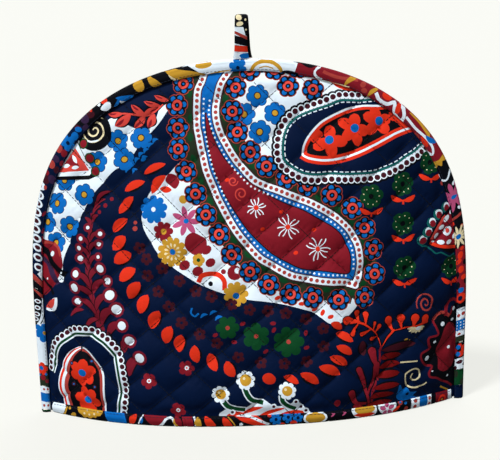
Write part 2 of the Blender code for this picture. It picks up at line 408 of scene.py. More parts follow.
leaf("orange", (-72, 180), (-60, 194), 7, 0.12)
leaf("orange", (-66, 184), (-56, 183), 5)
blot("maroon", [(-61, 190), (-58, 195), (-53, 194), (-50, 189), (-53, 184), (-57, 186)])
for x, y, turn in ((50, 91, 20), (56, 88, 60), (62, 84.5, 10), (40, 96, 0), (22, 101, 30)):
    disc("orange", x, y, 2.6, 9, 0.6, turn)

# Olive ground and small green leaves behind the rosettes, all round the big paisley
left_run = smooth_line([
    (-28, 279), (-31, 266), (-34.5, 257), (-35.5, 248), (-36, 239), (-36, 230),
    (-34.5, 222), (-33, 213), (-31, 204), (-29, 196), (-25.5, 187), (-22, 178),
    (-18.5, 171), (-14, 162), (-8, 152), (-2, 144), (4, 137), (10, 131), (18, 126),
    (26, 121), (34, 117), (44, 114.5), (53, 112.5), (63, 111), (73, 110), (82, 107),
])
right_run = smooth_line([
    (82, 107), (84.5, 114), (85.5, 122), (85, 130), (83.5, 139), (79, 148), (73, 155), (66, 161), (58, 166),
    (49, 171), (41, 174.5), (32, 178), (24, 181.5), (15, 185), (7, 189), (1, 195), (-5, 202), (-10, 209),
    (-14.5, 217), (-18.5, 225), (-21, 234), (-21.5, 243), (-20, 252), (-17, 261), (-12, 269), (-5, 279),
])
whole_run = np.vstack([left_run, right_run[1:]])
ribbon("olive", left_run, 29)
ribbon("olive", right_run, 27)
disc("olive", 86, 103, 9, 14)
for x, y, turn in (
    (-33, 270, 60), (-41, 254, 90), (-41, 236, 80), (-41, 222, 95), (-39, 206, 110), (-34, 190, 110),
    (-27, 175, 120), (-19, 162, 125), (-10, 146, 130), (0.5, 134.5, 135), (12.5, 124, 145),
    (26.7, 114.6, 155), (36.7, 109, 160), (59, 105.4, 170), (79, 101.7, 175), (87.5, 107.5, 40),
    (89, 122.5, 85), (87, 140, 110), (80.4, 154, 130), (70, 165, 140), (55.4, 174.6, 155),
    (-14, 250, 80), (-15, 236, 100), (-8, 213, 125), (5, 200, 140), (-12, 263, 60),
):
    a = math.radians(turn)
    across, up = 3.6 * math.cos(a), 3.6 * math.sin(a)
    leaf("green", (x - across, y - up), (x + across, y + up), 4.4)
for x, y in (
    (-46, 262), (-51, 246), (-50.5, 229), (-50.5, 213.5), (-45, 197), (-38, 180),
    (-30.5, 164.5), (-21, 150), (-12, 134.5), (1.5, 121.5), (15.5, 111.3), (31.8, 103.5),
    (48.8, 100), (68.5, 97), (88.8, 97), (96.8, 114.5), (96.5, 133), (90, 150),
    (80.5, 165.5), (65, 176), (47, 184), (31, 190), (16, 199), (4, 210), (-5.5, 225),
    (-9, 240.5), (-6, 258), (5, 271), (24, 271), (34, 258), (53, 255), (42, 272), (-42, 278),
):
    rosette(x, y, 7 * x % 60)

# The big paisley: white bands with red dots, a dotted blue band, and a maroon middle with firework flowers
paint("blue", whole_run)
maroon_edge = smooth_line([
    (-29, 240), (-28.5, 222), (-27, 211), (-24, 200), (-20, 188), (-14, 176), (-8, 166),
    (0, 154), (10, 143), (20, 134), (30, 128), (40, 123), (50, 121), (60, 119.5), (76, 116.5),
    (77.5, 122), (77.5, 130), (75, 138), (70, 147), (62, 154), (52, 160), (42, 166),
    (30, 171), (20, 176), (10, 183), (0, 190), (-10, 199), (-18, 209), (-24, 222), (-28, 236),
])
ribbon("black", maroon_edge, 1.6)
paint("maroon", maroon_edge)
for x, y, r, turn in ((7.5, 169, 7.5, 0), (31, 154, 9.5, 15), (53.5, 136.5, 9.5, 40)):
    for k in range(11):
        a = math.radians(turn + k * 360 / 11)
        t = np.linspace(0.1, 1 - 0.16 * (k % 2), 7)
        bent = a + 0.2 * (-1) ** (k % 3) * t ** 4
        ray = np.stack([x + r * t * np.cos(bent), y + r * t * np.sin(bent)], 1)
        ribbon("white", ray, np.linspace(0.7, 0.85, len(ray)))
    disc("orange", x, y, 2.0, 9)
curl("coral", -3.5, 179.5, 5, 1.4, 1.1, 120, 0.25)
curl("coral", -9.5, 189, 3.8, 1.3, 1.1, 250, 0.3)
for x, y in ((26.5, 165.5), (12, 153), (51, 151), (36.5, 134.5), (-14, 190)):
    disc("orange", x, y, 1.9, 8, 0.75, 20)
for ink, width in (("plum", 6.8), ("white", 5.2)):
    disc(ink, *left_run[-1], width / 2)
    ribbon(ink, left_run, width)
    ribbon(ink, right_run, width)
for run in (left_run, right_run):
    for x, y in spaced(run, 4.3, 1.5):
        disc("rust", x, y, 1.5, 9)
    for x, y in spaced(beside(run, 5.1), 3.5, 1.0):
        if y < 250 and (x < 76 or y > 117):
            disc("white", x, y, 0.85, 7)

# Upper left: squiggles on navy, gold spiral, leaf sprig and half paisley
for x, y in (
    (-90, 197.5), (-86.5, 201), (-82.5, 205), (-79, 209), (-75, 212),
    (-71.5, 216), (-68, 219.5), (-85, 197), (-76.5, 206.5),
):
    leaf("blue", (x - 2, y - 1.8), (x + 2, y + 1.8), 2.6, 0.3)
disc("black", -117, 227, 14.5, 26)
curl("cream", -117, 228, 11.5, -2.3, 1.5, 160, 0.1)
ribbon("white", smooth_line([(-127, 222), (-120, 219.5), (-113, 220.5)]), 1.2)
paint("black", [(-133, 223), (-116.5, 193), (-122, 190.5), (-150, 190), (-156, 193)])
paint("white", [(-132.5, 220.5), (-119, 197), (-122, 193.8), (-150, 192.8), (-153, 195.5)])
paint("coral", [(-133.5, 215), (-122.5, 197.5), (-148.5, 196)])
paint("maroon", [(-135.5, 210), (-129.5, 200.5), (-143, 202)])
leaf("white", (-136, 209.5), (-131.5, 203), 3)
leaf("white", (-145, 200.6), (-137.5, 201.4), 3.2)
leaf("white", (-136, 199.4), (-130, 200.4), 2.8)
for x, y in ((-126, 218), (-121, 207), (-117, 197)):
    disc("green", x, y, 4.2, 12)
    disc("maroon", x, y, 3.2, 10)
sprig_leaves = (
    ((-57.5, 249.8), (-68.5, 253.5), 4), ((-63.5, 245.8), (-76.5, 249), 4),
    ((-93, 240.3), (-106, 240.6), 4.4), ((-76, 239.5), (-87, 247), 5), ((-78, 238), (-65, 243.6), 4.8),
    ((-87, 239.8), (-99.5, 231), 6.6), ((-76, 239), (-85, 229.8), 5.6), ((-68.5, 240), (-74, 229.8), 7),
)
for foot, tip, width in sprig_leaves:
    leaf("black", foot, tip, width + 2.4, 0.06)
ribbon(
    "black", smooth_line([(-98, 240.5), (-87, 240), (-78, 239), (-68, 242), (-62, 247), (-57, 250)]), 2.8,
)
for foot, tip, width in sprig_leaves:
    leaf("coral", foot, tip, width, 0.06)
    vein_foot = (foot[0] * 0.6 + tip[0] * 0.4, foot[1] * 0.6 + tip[1] * 0.4)
    vein_tip = (tip[0] * 0.94 + foot[0] * 0.06, tip[1])
    leaf("maroon", vein_foot, vein_tip, width * 0.34, 0.06)
ribbon("coral", smooth_line([(-98, 240.5), (-87, 240), (-78, 239), (-68, 242), (-62, 247)]), 1.4)
for ink, x, y, r in (
    ("blue", -78, 206, 2.2), ("white", -104, 246, 3), ("white", -94, 252, 3.4), ("white", -112, 240, 2.4),
):
    disc(ink, x, y, r, 9, 0.6, 30)

# Left edge: maroon arch with white dots, its corner piece, and the maroon frond with its white discs
blot("maroon", [
    (-172, 140), (-162, 142.5), (-153, 140.5), (-148, 134),
    (-147, 124), (-152, 116), (-158, 106), (-168, 98), (-178, 100),
])
ribbon("black", smooth_line([(-168, 136), (-161, 132), (-157, 125), (-151, 119), (-146, 116)]), 5.5)
ribbon("violet", smooth_line([(-168, 128), (-162, 124), (-158, 116), (-154, 108)]), 4)
ribbon("rust", smooth_line([(-170, 139.5), (-160, 141), (-151, 138), (-148, 131)]), 2.2)
ribbon("black", smooth_line([(-173, 114), (-164, 108), (-157, 100)]), 2.6)
for x, y, r in ((-156, 132.5, 2.4), (-150, 117.5, 1.0), (-163, 112, 1.0)):
    disc("white", x, y, r, 10, 0.75, 50)
leaf("white", (-168, 86), (-153.5, 98), 8.4, -0.1)
leaf("coral", (-168, 88), (-156, 97), 5.6, -0.1)
stem = smooth_line([
    (-116, 70), (-118, 78), (-120, 93), (-124, 103), (-124.5, 115),
    (-126, 126), (-124.5, 138), (-122, 150), (-121, 165),
])
ribbon("wine", stem, np.linspace(6.5, 2.2, len(stem)))
for foot, tip, width in (
    ((-123, 148), (-124, 156), 3), ((-122, 144), (-114.5, 151), 2.8), ((-124, 140), (-130.5, 147), 3),
    ((-124, 136), (-116, 143), 3), ((-125, 130), (-133, 139.5), 3.4), ((-125, 124), (-115.5, 133.5), 3.4),
    ((-125, 121), (-133, 131.5), 3.6), ((-124, 114), (-115, 124.5), 4.2),
    ((-124, 108), (-136.5, 119), 4.4), ((-123, 102), (-110, 115), 4.6), ((-122, 97), (-138.5, 108.5), 4.8),
    ((-120, 90), (-107.5, 104.5), 5.2), ((-119, 86), (-137, 97.5), 4.8), ((-117, 79), (-102.5, 93.5), 6),
    ((-112, 70), (-97.5, 82), 6.2), ((-99, 58), (-92.5, 70), 6.4), ((-94.5, 40), (-84.5, 57), 7),
    ((-122, 154), (-127, 162), 3), ((-121, 158), (-115, 164), 3), ((-120, 164), (-113, 171), 3),
    ((-119, 168), (-109, 176), 3), ((-117, 172), (-105, 182), 2.8), ((-131, 90), (-143, 84), 3.4),
    ((-118, 84), (-129, 76), 3.6), ((-116, 76), (-125, 67), 3.2), ((-116, 72), (-108, 66), 3.4),
):
    bend = 0.18 if tip[0] > foot[0] else -0.18
    leaf("black", foot, tip, width + 1.8, bend, 0.5)
    leaf("wine", foot, tip, width, bend, 0.5)
for x, y, r in (
    (-124, 154, 1.4), (-114.5, 149.5, 1.7), (-130, 145.5, 1.7), (-116, 141.5, 1.7),
    (-132.5, 138, 1.8), (-132.4, 130, 2.2), (-116, 132, 1.4), (-115, 123, 3.1),
    (-136, 118, 2.8), (-110, 113.5, 2.7), (-138, 107, 3.3), (-108, 103, 3.7),
    (-136.6, 96, 2.5), (-103, 92, 3.9), (-98.5, 80, 3.4), (-93.5, 68, 3.7), (-85.6, 55, 3.9),
):
    disc("wine", x, y, r + 2.2, 12)
    disc("white", x, y, r, 12)

# Orange leaves in an arc, dim red stars beside them, and green flowers between
for foot, tip, width in (
    ((-78, 195), (-60, 202.5), 5.4), ((-93, 182), (-77, 189.5), 6.2), ((-98, 165), (-86, 178), 6.6),
    ((-104, 151), (-92, 161.5), 6.8), ((-104, 137.5), (-93, 148), 9),
    ((-103, 128), (-89.5, 135.5), 9.5), ((-99, 114.5), (-86.5, 124), 9),
    ((-92.5, 101), (-83, 114), 9), ((-84, 90), (-77, 104.5), 9), ((-76, 78), (-68.5, 92.5), 9),
    ((-65, 67), (-59.5, 81), 9), ((-54.5, 60.5), (-52, 74.5), 8.5), ((-40.5, 52.5), (-42, 66.5), 8),
    ((-26, 46), (-31, 60), 8), ((-12.5, 41), (-18.5, 53.5), 8), ((38, 41.5), (52, 32.5), 7.5),
    ((52, 46.5), (69, 38), 7.5), ((61, 53), (75, 45), 7), ((66, 61.5), (78, 54), 6.5),
    ((66, 71.5), (79, 64), 6), ((62, 80), (71, 74), 5.5), ((25, 40), (36.5, 34), 5.5),
):
    leaf("black", foot, tip, width + 1.6)
    leaf("orange", foot, tip, width, 0.06, 0.6)
blot("orange", [(9, 41), (12, 43.5), (16, 43), (19, 39), (17.5, 35), (13, 34.5), (9.5, 37)])
for x, y in (
    (-82.5, 139.5), (-77, 131.5), (-65, 124.5), (-77, 119), (-52, 115.5), (-40, 107.5), (-69, 107),
    (-28, 103.5), (-61, 95.5), (-13, 97), (0.5, 93), (14.5, 91.5), (28, 89), (43, 84), (56, 76),
    (56.5, 61.5), (43, 51), (26, 50), (8, 51.5), (-9, 56.5), (-25, 67.5), (-38, 74.5), (-51.5, 83.5),
):
    flower("plum", x, y, 4.8, 3.0, 5, 3 * x % 72)
    disc("navy", x, y, 1.1, 7)
for ink, x, y, r in (
    ("rust", -85.5, 158.5, 1.5), ("rust", -85.5, 154, 2.0),
    ("maroon", -104, 176, 1.6), ("maroon", -109, 171, 1.8), ("maroon", -114, 166, 1.6),
):
    disc(ink, x, y, r, 8)
for x, y, r, petals in ((-16.5, 79.5, 9, 6), (5, 72, 10.5, 6), (29.5, 67, 12, 7)):
    flower("green", x, y, r, r * 0.72, petals, 20 * r % 60)
    disc("rust", x, y, 1.7, 9)
for x, y, turn in (
    (-5, 82, 20), (18.5, 77, 60), (-12, 68, 0), (12, 60, 30),
    (43, 73, 80), (43, 62, 10), (18, 82, 0), (-26, 74, 30),
):
    disc("maroon", x, y, 2.3, 8, 0.65, turn)
ribbon("blue", smooth_line([(-43, 95), (-44, 91), (-41, 88.5), (-38, 91)]), 1.4)
for x, y in ((-34, 88), (-27, 90), (-23, 86)):
    leaf("blue", (x - 3, y - 1), (x + 3, y + 2), 2.2, 0.2)

# Top right paisley: beaded edge, green and white line, navy, and a leaf of orange flowers
beaded = smooth_line([
    (150, 262), (128, 258), (108, 252), (92, 250), (82, 250), (72.5, 250), (61.5, 246.5),
    (50, 243), (39, 239), (31, 232.5), (26.5, 224), (24.5, 213.5), (25.5, 202.5),
    (32, 195.5), (42, 189.5), (53, 187.5), (64.5, 188), (76, 187), (97, 187), (107.5, 189.5),
    (117.7, 193), (125.4, 198), (134, 202.5), (142, 208), (156, 219), (170, 232),
])
for x, y in spaced(beaded, 5.1, 2.0):
    disc("black", x, y, 4.6, 11)
ribbon("black", beaded, 6.4)
paint("navy", np.vstack([beaded, [(190, 262)]]))
ribbon("white", beside(beaded, 2.3), 2.2)
for x, y in spaced(beaded, 5.1, 2.0):
    disc("white", x, y, 3.0, 11)
    disc("plum", x, y, 2.15, 10)
for x, y in spaced(beside(beaded, 3.1), 3.1, 1.0):
    disc("black", x, y, 0.35, 5)
ribbon("teal", beside(beaded, 4.3), 1.5)
dashed = beside(beaded, 5.8)
for dash in zip(spaced(dashed, 4.4, 1.0), spaced(dashed, 4.4, 3.8)):
    ribbon("white", np.array(dash), 0.8)
leaf_bottom = smooth_line([
    (43.5, 207), (47, 204.5), (52, 203), (60, 202), (70, 202.7), (80, 204.7),
    (90, 208), (100, 212.2), (110, 217), (120, 221), (150, 229), (170, 234),
])
leaf_top = smooth_line([
    (43.5, 207), (44.5, 213), (47.5, 219), (52, 224.5), (58, 230), (65, 234),
    (72, 237.3), (80, 240), (90, 241.5), (113, 242), (140, 248), (160, 254),
])
paint("black", np.vstack([leaf_bottom, leaf_top[::-1]]))
for x, y, heart, tips in (
    (64.3, 217, 3.3, ((52, 211), (65.5, 228), (78, 214.5), (67, 203.5))),
    (84.2, 225, 3.3, ((71.5, 231.5), (84, 236), (95, 221.5), (87, 211.5), (74.5, 216.5))),
    (103.2, 229.6, 3.3, ((90.5, 234.5), (98, 241), (113, 231.5), (109.5, 220), (93, 220.5))),
    (119, 231, 0, ((112, 236), (128, 225.5), (123, 237))),
    (139, 240, 3.3, ((130, 234), (134, 246), (148, 246), (147, 236))),
    (55, 220.5, 0, ((50.5, 217), (57, 224.5))),
):
    for tip in tips:
        leaf("orange", (x, y), tip, 8.6, 0.0, 0.42)
    disc("orange", x, y, 3.4, 12)
    if heart:
        disc("blue", x, y, heart, 12)
ribbon("orange", beside(leaf_bottom, 2.0), 2.2)
ribbon("orange", beside(leaf_bottom, -2.0), 2.5)
ribbon("white", leaf_bottom, 1.7)
ribbon("orange", beside(leaf_top, -2.2), 2.2)
ribbon("white", beside(leaf_top, -0.3), 1.6)
ribbon("orange", smooth_line([(68, 262), (74, 257), (84, 255), (96, 257)]), 3.4)
ribbon("maroon", smooth_line([(92, 262), (98, 256), (104, 250)]), 5)

# Right navy ground: green disc flowers over red wing leaves
for x, y in ((95.8, 173.3), (121.2, 181.2), (144.6, 196.2), (121.2, 150.8), (122, 116.7), (164, 113)):
    foot = (x - 0.4, y - 12.8)
    for tip, bend in (((x - 10, y - 8), 0.1), ((x + 10, y - 9), -0.1)):
        leaf("black", foot, tip, 5.4, bend)
        leaf("orange", foot, tip, 3.8, bend)
    ribbon("orange", np.array([(x - 0.4, y - 15.5), (x - 0.4, y - 12)]), 1.5)
    flower("forest", x, y, 9.4, 7.6, 6, 10)
    for k in range(9):
        a = math.radians(40 * k)
        disc("cream", x + 6.2 * math.cos(a), y + 6.2 * math.sin(a), 0.5, 6)
    disc("black", x, y, 2.1, 9)
for x, y in ((137, 136.5), (141, 142.5), (144.5, 149.5), (151, 155.5), (158, 160.5), (165, 165)):
    disc("teal", x, y, 4.3, 12)
    disc("white", x + 0.9, y + 0.9, 3.1, 12)
    disc("maroon", x + 1.1, y - 0.5, 2.8, 11)
ribbon("teal", smooth_line([
    (135, 134), (138, 131.5), (141, 131.5), (145, 128.5),
    (149, 125), (153, 125.5), (158, 123), (162, 121.5), (167, 123),
]), 1.2)
blot("black", [(142, 134), (150, 129), (169, 125.5), (172, 162), (164, 161), (153, 153), (146, 144)])
blot("maroon", [(144.5, 135), (168, 131), (172, 144), (166, 157), (156, 152), (149, 144)])
ribbon("coral", smooth_line([(145, 136.5), (148.5, 143), (153, 149), (158, 154)]), 2.4)
ribbon("orange", smooth_line([(144, 134), (150, 131.2), (158, 129.6), (169, 128.2)]), 2.6)
for x, y, r, turn in (
    (149.3, 139, 2.7, 55), (154, 145.4, 2.9, 20), (159, 151.6, 3.4, 50), (146.6, 134.6, 1.5, 0),
    (153, 133.6, 3.2, -5), (160.6, 133.2, 3.0, 10), (166.4, 137, 2.4, 60), (163, 156.4, 1.7, 80),
):
    disc("white", x, y, r, 9, 0.58, turn)
disc("white", 160, 141.8, 4.4, 12, 0.78, 30)
disc("coral", 160, 142, 2.0, 9)
ribbon("white", smooth_line([(153, 187), (156, 183), (161, 185), (161, 192)]), 2.2)
disc("rust", 155.4, 179.6, 1.9, 9)

# Bottom left: a beaded arch with a leaf of orange flowers
arch = smooth_line([
    (-168, 36), (-165, 50), (-158, 62), (-150, 68.5), (-141, 74), (-131, 75),
    (-124, 74.6), (-118, 72), (-112.4, 69), (-108, 65), (-104, 60), (-101, 53),
    (-99.2, 44), (-98.6, 34), (-98.8, 24), (-100, 16), (-101.6, 9), (-103, 2), (-104, -4),
])
for x, y in spaced(arch, 4.9, 2.0):
    disc("black", x, y, 3.9, 10)
paint("navy", np.vstack([arch, [(-172, -4)]]))
ribbon("white", beside(arch, -1.9), 2.6)
for x, y in spaced(arch, 4.9, 2.0):
    disc("white", x, y, 2.8, 11)
    disc("plum", x, y, 1.95, 10)
ribbon("green", beside(arch, -4.2), 1.6)
ribbon("white", beside(arch, -5.6), 1.1)
bud = smooth_line([
    (-153, -4), (-153.5, 13), (-155, 25), (-153, 38), (-149, 48), (-143, 55), (-135, 59),
    (-128, 56), (-121, 47), (-117, 37), (-116.5, 25), (-117.5, 10), (-119, -4),
])
peak = int(np.argmax(bud[:, 1]))
paint("black", bud)
for x, y, turn in ((-135, 39, 20), (-132, 17, 50)):
    star("orange", x, y, 11.6, 8.4, 6, turn, 0.42)
    disc("orange", x, y, 4.6, 12)
    disc("blue", x, y, 3.2, 11)
narrowing = np.clip(np.linspace(3.2, 0.3, peak), 0, 1)
for ink, away, width in (
    ("rust", -3.6, 3.4), ("white", -1.0, 2.6), ("orange", 1.2, 2.0), ("white", 2.7, 1.0),
):
    ribbon(ink, beside(bud[:peak], away * narrowing), width * narrowing)
ribbon("rust", beside(bud[peak:], -1.8), 2.2)
ribbon("white", bud[peak:], 1.5)
for x, y in ((-127, 49), (-144, 46), (-124, 29), (-145, 28), (-142, 7), (-123, 8)):
    disc("plum", x, y, 1.7, 8)
    disc("blue", x, y, 0.8, 6)

# Small maroon flowers on the navy, and the mustard flowers on green stems at the bottom
for x, y in ((-79, 37), (-49, 48), (-57, 14)):
    flower("maroon", x, y, 6.2, 4.2, 5, 3 * x % 72)
    disc("white", x, y, 1.7, 8)
    disc("orange", x, y, 0.8, 6)
blot("white", [
    (-23, 8), (-20, 15), (-13, 17.5), (-5, 16), (2, 20), (9, 22),
    (17, 17), (26, 16), (34, 20), (41, 14), (45, 6), (20, 3),
])
for points in (
    ((-22, 22), (-18, 17), (-12, 15), (-5, 14)),
    ((-5, 33), (-3, 27), (1, 22), (9, 19.5)), ((23.5, 25), (24, 20), (28, 16), (34, 13)),
):
    ribbon("white", smooth_line(points), 5.4)
    ribbon("green", smooth_line(points), 3.4)
for foot, tip in (
    ((-8, 10), (9, 16)), ((4, 7), (26, 14)), ((22, 9), (44, 9)), ((-20, 9), (-6, 11)), ((-4, 5), (16, 7)),
):
    leaf("orange", foot, tip, 3.4, 0.05)
for x, y in ((34, 19.5), (38, 14.5), (42, 11), (-15, 12), (17, 16)):
    disc("white", x, y, 2.4, 9)
    disc("plum", x, y, 1.3, 8)
for x, y, r in ((-23.5, 27, 4.2), (-4, 38, 4.5), (27.5, 28.5, 4.0)):
    flower("white", x, y, r + 2.9, r + 1.4, 8, 10)
    disc("mustard", x, y, r, 12)
    disc("cream", x - 1.2, y + 1.2, 1.1, 7)

# Bottom right: orange coral sprig, maroon fern, spirals and a dark red scalloped leaf
lobes("orange", (
    (((102, 56), (99.5, 65), (95, 71), (88, 76.5), (84, 78)), 1.8),
    (((102, 56), (106, 63), (110, 67), (112, 69)), 1.8), (((111, 69.5), (108, 77.5)), 6.4),
    (((119, 69.5), (119, 77.5)), 6.2), (((129, 69.5), (130, 76.5)), 6.8),
    (((136, 70), (139, 75)), 6.4), (((85, 78.5), (75.5, 80)), 6.8), (((84, 78), (82.6, 86)), 4.2),
    (((89, 76), (89.5, 84)), 4.2), (((95, 71), (96.2, 77)), 2.2), (((97, 69.5), (100, 74)), 3.4),
    (((93, 72), (87, 68.5)), 3.6), (((99, 65.5), (94.6, 64)), 3.2), (((84, 78), (79, 69.5)), 3.4),
    (((110, 68.5), (120, 69.3), (130, 69.5), (141, 72)), 2.2),
), 0.25)
for turn in range(0, 181, 30):
    a = math.radians(180 + turn)
    leaf("cream", (132, 68), (132 + 7.4 * math.cos(a), 68 + 4.8 * math.sin(a)), 2.6)
disc("white", 133.5, 67.5, 2.4, 10, 0.7)
curl("mustard", 123, 58.3, 3.0, 0.9, 1.6, 60, 0.7)
fern = smooth_line([(96, 6), (94, 14), (96, 24), (98.5, 36), (100.5, 48), (102, 58)])
ribbon("maroon", fern, np.linspace(2.6, 1.6, len(fern)))
lobes("maroon", (
    (((93, 8), (90.5, 18), (88, 29), (83.5, 41)), 4.2), (((91, 20), (95.5, 31), (96.5, 42)), 3.6),
    (((98.5, 40), (95.5, 48), (94.5, 54)), 6.6), (((90, 12), (81.5, 13.5), (77.5, 22.5)), 5.4),
    (((92, 6), (82, 10)), 5.2), (((99, 30), (98.5, 44)), 3),
))
disc("maroon", 66.5, 15, 3.2, 12, 0.8, 90)
for foot, tip, width, ink in (
    ((87.5, 51.5), (87, 63.5), 6, "plum"), ((102, 53.5), (132, 55.5), 6, "plum"),
    ((101, 47.5), (119, 48.5), 5.4, "dim"), ((99.5, 40.5), (118, 41.5), 5.4, "dim"),
    ((98, 33), (117.5, 34), 5.4, "dim"), ((95.5, 23.5), (116.5, 25), 5.2, "dim"),
    ((92.5, 16.5), (112.5, 17.5), 5, "dim"), ((90, 9.5), (112, 10.5), 4.4, "dim"),
):
    leaf("black", foot, tip, width + 2.6, 0.04, 0.55)
    leaf(ink, foot, tip, width, 0.04, 0.55)
ribbon("cream", np.array([(118, 42), (132, 41.3)]), 1.2)
ribbon("cream", smooth_line([
    (129, 31), (128, 27), (131, 24.5), (135, 27), (135, 32), (130.5, 35),
    (125, 33), (122.3, 28), (124, 22), (130, 19), (137, 19), (141, 21.5),
]), 1.3)
blot("blue", [
    (116.5, 11), (115.5, 17), (117, 24), (120.5, 19), (124, 20),
    (127, 16), (133, 15), (130, 12), (134, 9), (125, 8),
])
disc("navy", 124.5, 14.5, 1.5, 8)
curl("rust", 140, 86.5, 8.4, 2.0, 1.5, 200, 0.1)
dark_leaf = smooth_line([
    (166, 80), (163, 74), (158, 76.5), (152, 76), (147.5, 71), (149.5, 65), (150.5, 59.5),
    (143, 58), (143.5, 52), (145, 48.5), (136, 46.5), (136, 41), (141, 35.5), (146, 34),
    (143, 29), (144, 25.5), (150, 23.5), (156, 19.5), (162, 16.5), (168, 12),
])
blot("black", np.vstack([dark_leaf, [(184, 14), (184, 80)]]))
ribbon("maroon", dark_leaf, 1.8)
ribbon("rust", smooth_line([(147.5, 72), (152, 75.6), (158, 76), (163, 72.5)]), 2.6)
blot("maroon", [
    (157, 64), (163, 67), (170, 62), (172, 45), (168, 30),
    (159, 27), (151.5, 31), (153, 39), (150.5, 47), (153.5, 56),
])
for x, y, r in (
    (155.5, 67.5, 2.1), (148, 54, 1.4), (162, 47, 1.5), (141.5, 41.5, 2.4),
    (146, 30, 0.8), (163, 22, 1.3), (167.5, 78, 2), (166.5, 69, 1.6),
):
    disc("white", x, y, r, 9, 0.8, 30)
ribbon("maroon", smooth_line([(160, 73), (159.5, 79), (162.5, 84.5), (168, 85.5), (173, 82)]), 2.4)
ribbon("mustard", smooth_line([(156, 14), (161, 11), (165, 8.5)]), 1.4)


def turned_left(points):
    """The same outline with its inside on the left of its way round, which is cut far sooner."""
    after = np.roll(points, -1, axis=0)
    twice_area = np.sum(points[:, 0] * after[:, 1] - after[:, 0] * points[:, 1])
    return points if twice_area > 0 else points[::-1]


def within(outline, points):
    """The numbers of the points that an outline winds round."""
    boxed = (points > outline.min(axis=0)) & (points < outline.max(axis=0))
    near = np.flatnonzero(boxed.all(axis=1))
    x, y = points[near].T
    turns = np.zeros(len(near), int)
    for (x0, y0), (x1, y1) in zip(outline, np.roll(outline, -1, axis=0)):
        left = (x1 - x0) * (y - y0) - (x - x0) * (y1 - y0)
        turns += (y0 <= y) & (y < y1) & (left > 0)
        turns -= (y1 <= y) & (y < y0) & (left < 0)
    return near[turns != 0]


# Points of the grid keep about this many mm away from the print's outlines
CLEAR = 0.7
# Points closer than this are one
MERGED = 1e-4


def cut_print(outline, ground, printed, grid):
    """Cuts the flat cloth along the print's shapes. Gives its points, its triangles and each one's ink."""
    loops = [turned_left(points) for points in [outline] + [points for _, points in printed]]
    taken = {tuple(cell) for cell in np.round(np.vstack(loops) / CLEAR).astype(int)}
    free = [p for p in grid if tuple(np.round(np.array(p) / CLEAR).astype(int)) not in taken]
    numbers, first = [], 0
    for loop in loops:
        numbers.append(list(range(first, first + len(loop))))
        first += len(loop)
    flat = [Vector(p) for p in np.vstack(loops + [np.array(free)])]
    points, _, faces, _, _, _ = delaunay_2d_cdt(flat, [], numbers, 1, MERGED)
    points, faces = np.array(points), np.array(faces)
    faces = faces[within(loops[0], points[faces].mean(axis=1))]
    centres = points[faces].mean(axis=1)
    inks = np.full(len(faces), ground, dtype=object)
    for (ink, _), loop in zip(printed, loops[1:]):
        inks[within(loop, centres)] = ink
    used, triangles = np.unique(faces, return_inverse=True)
    return points[used], triangles.reshape(-1, 3), inks.tolist()


def rim_of(points, triangles):
    """Turns all triangles the same way round and gives the cloth's edge as a loop of point numbers."""
    a, b, c = (points[triangles[:, k]] for k in range(3))
    turned = (b - a)[:, 0] * (c - a)[:, 1] - (b - a)[:, 1] * (c - a)[:, 0] < 0
    triangles[turned] = triangles[turned][:, ::-1]
    ways = {(t[k], t[(k + 1) % 3]) for t in triangles.tolist() for k in range(3)}
    after = {p: q for p, q in ways if (q, p) not in ways}
    loop = [min(after)]
    while after[loop[-1]] != loop[0]:
        loop.append(after[loop[-1]])
    return loop


def sewn_sheet(name, outline, ground, printed, grids, faces, outward, material, plain="lining"):
    """A closed sheet of cloth: its printed face, its plain face, and the cut edge between them."""
    points, triangles, inks = cut_print(outline, ground, printed, grids[0])
    rim = rim_of(points, triangles)
    inner_points, inner_triangles, _ = cut_print(points[rim], plain, [], grids[1])
    inner_rim = rim_of(inner_points, inner_triangles)
    start = int(np.argmin(np.hypot(*(inner_points[inner_rim] - points[rim[0]]).T)))
    inner_rim = inner_rim[start:] + inner_rim[:start]
    assert len(inner_rim) == len(rim), name + ": its two faces have unlike edges"
    first = len(points)
    lifted, normals = [], []
    for side, (surface, flat) in enumerate(zip(faces, (points, inner_points))):
        u, v = flat[:, 0] * MM, flat[:, 1] * MM
        lifted.append(surface(u, v))
        normals.append(facing(surface, u, v) * (outward if side == 0 else -outward))
    sheets = [triangles.tolist(), (inner_triangles[:, ::-1] + first).tolist()]
    edge = []
    for k in range(len(rim)):
        here, there = rim[k - 1], rim[k]
        behind, ahead = inner_rim[k - 1] + first, inner_rim[k] + first
        edge += [(there, here, behind), (there, behind, ahead)]
    polygons = [tuple(p) for sheet in sheets for p in sheet] + edge
    ink_at = {(t[k], t[(k + 1) % 3]): ink for t, ink in zip(sheets[0], inks) for k in range(3)}
    edge_inks = [ink_at[rim[k - 1], rim[k]] for k in range(len(rim)) for _ in range(2)]
    colours = inks + [plain] * len(inner_triangles) + edge_inks
    if outward < 0:
        polygons = [p[::-1] for p in polygons]
    mesh = bpy.data.meshes.new(name)
    mesh.from_pydata(np.vstack(lifted).tolist(), [], polygons)
    layer = mesh.color_attributes.new("ink", "FLOAT_COLOR", "CORNER")
    palette = {ink: (*linear_colour(code), 1.0) for ink, code in INKS.items()}
    layer.data.foreach_set("color", np.repeat([palette[c] for c in colours], 3, axis=0).ravel())
    mesh.shade_smooth()
    mesh.normals_split_custom_set_from_vertices(np.vstack(normals).tolist())
    mesh.materials.append(material)
    sheet = bpy.data.objects.new(name, mesh)
    bpy.context.scene.collection.objects.link(sheet)
    return sheet


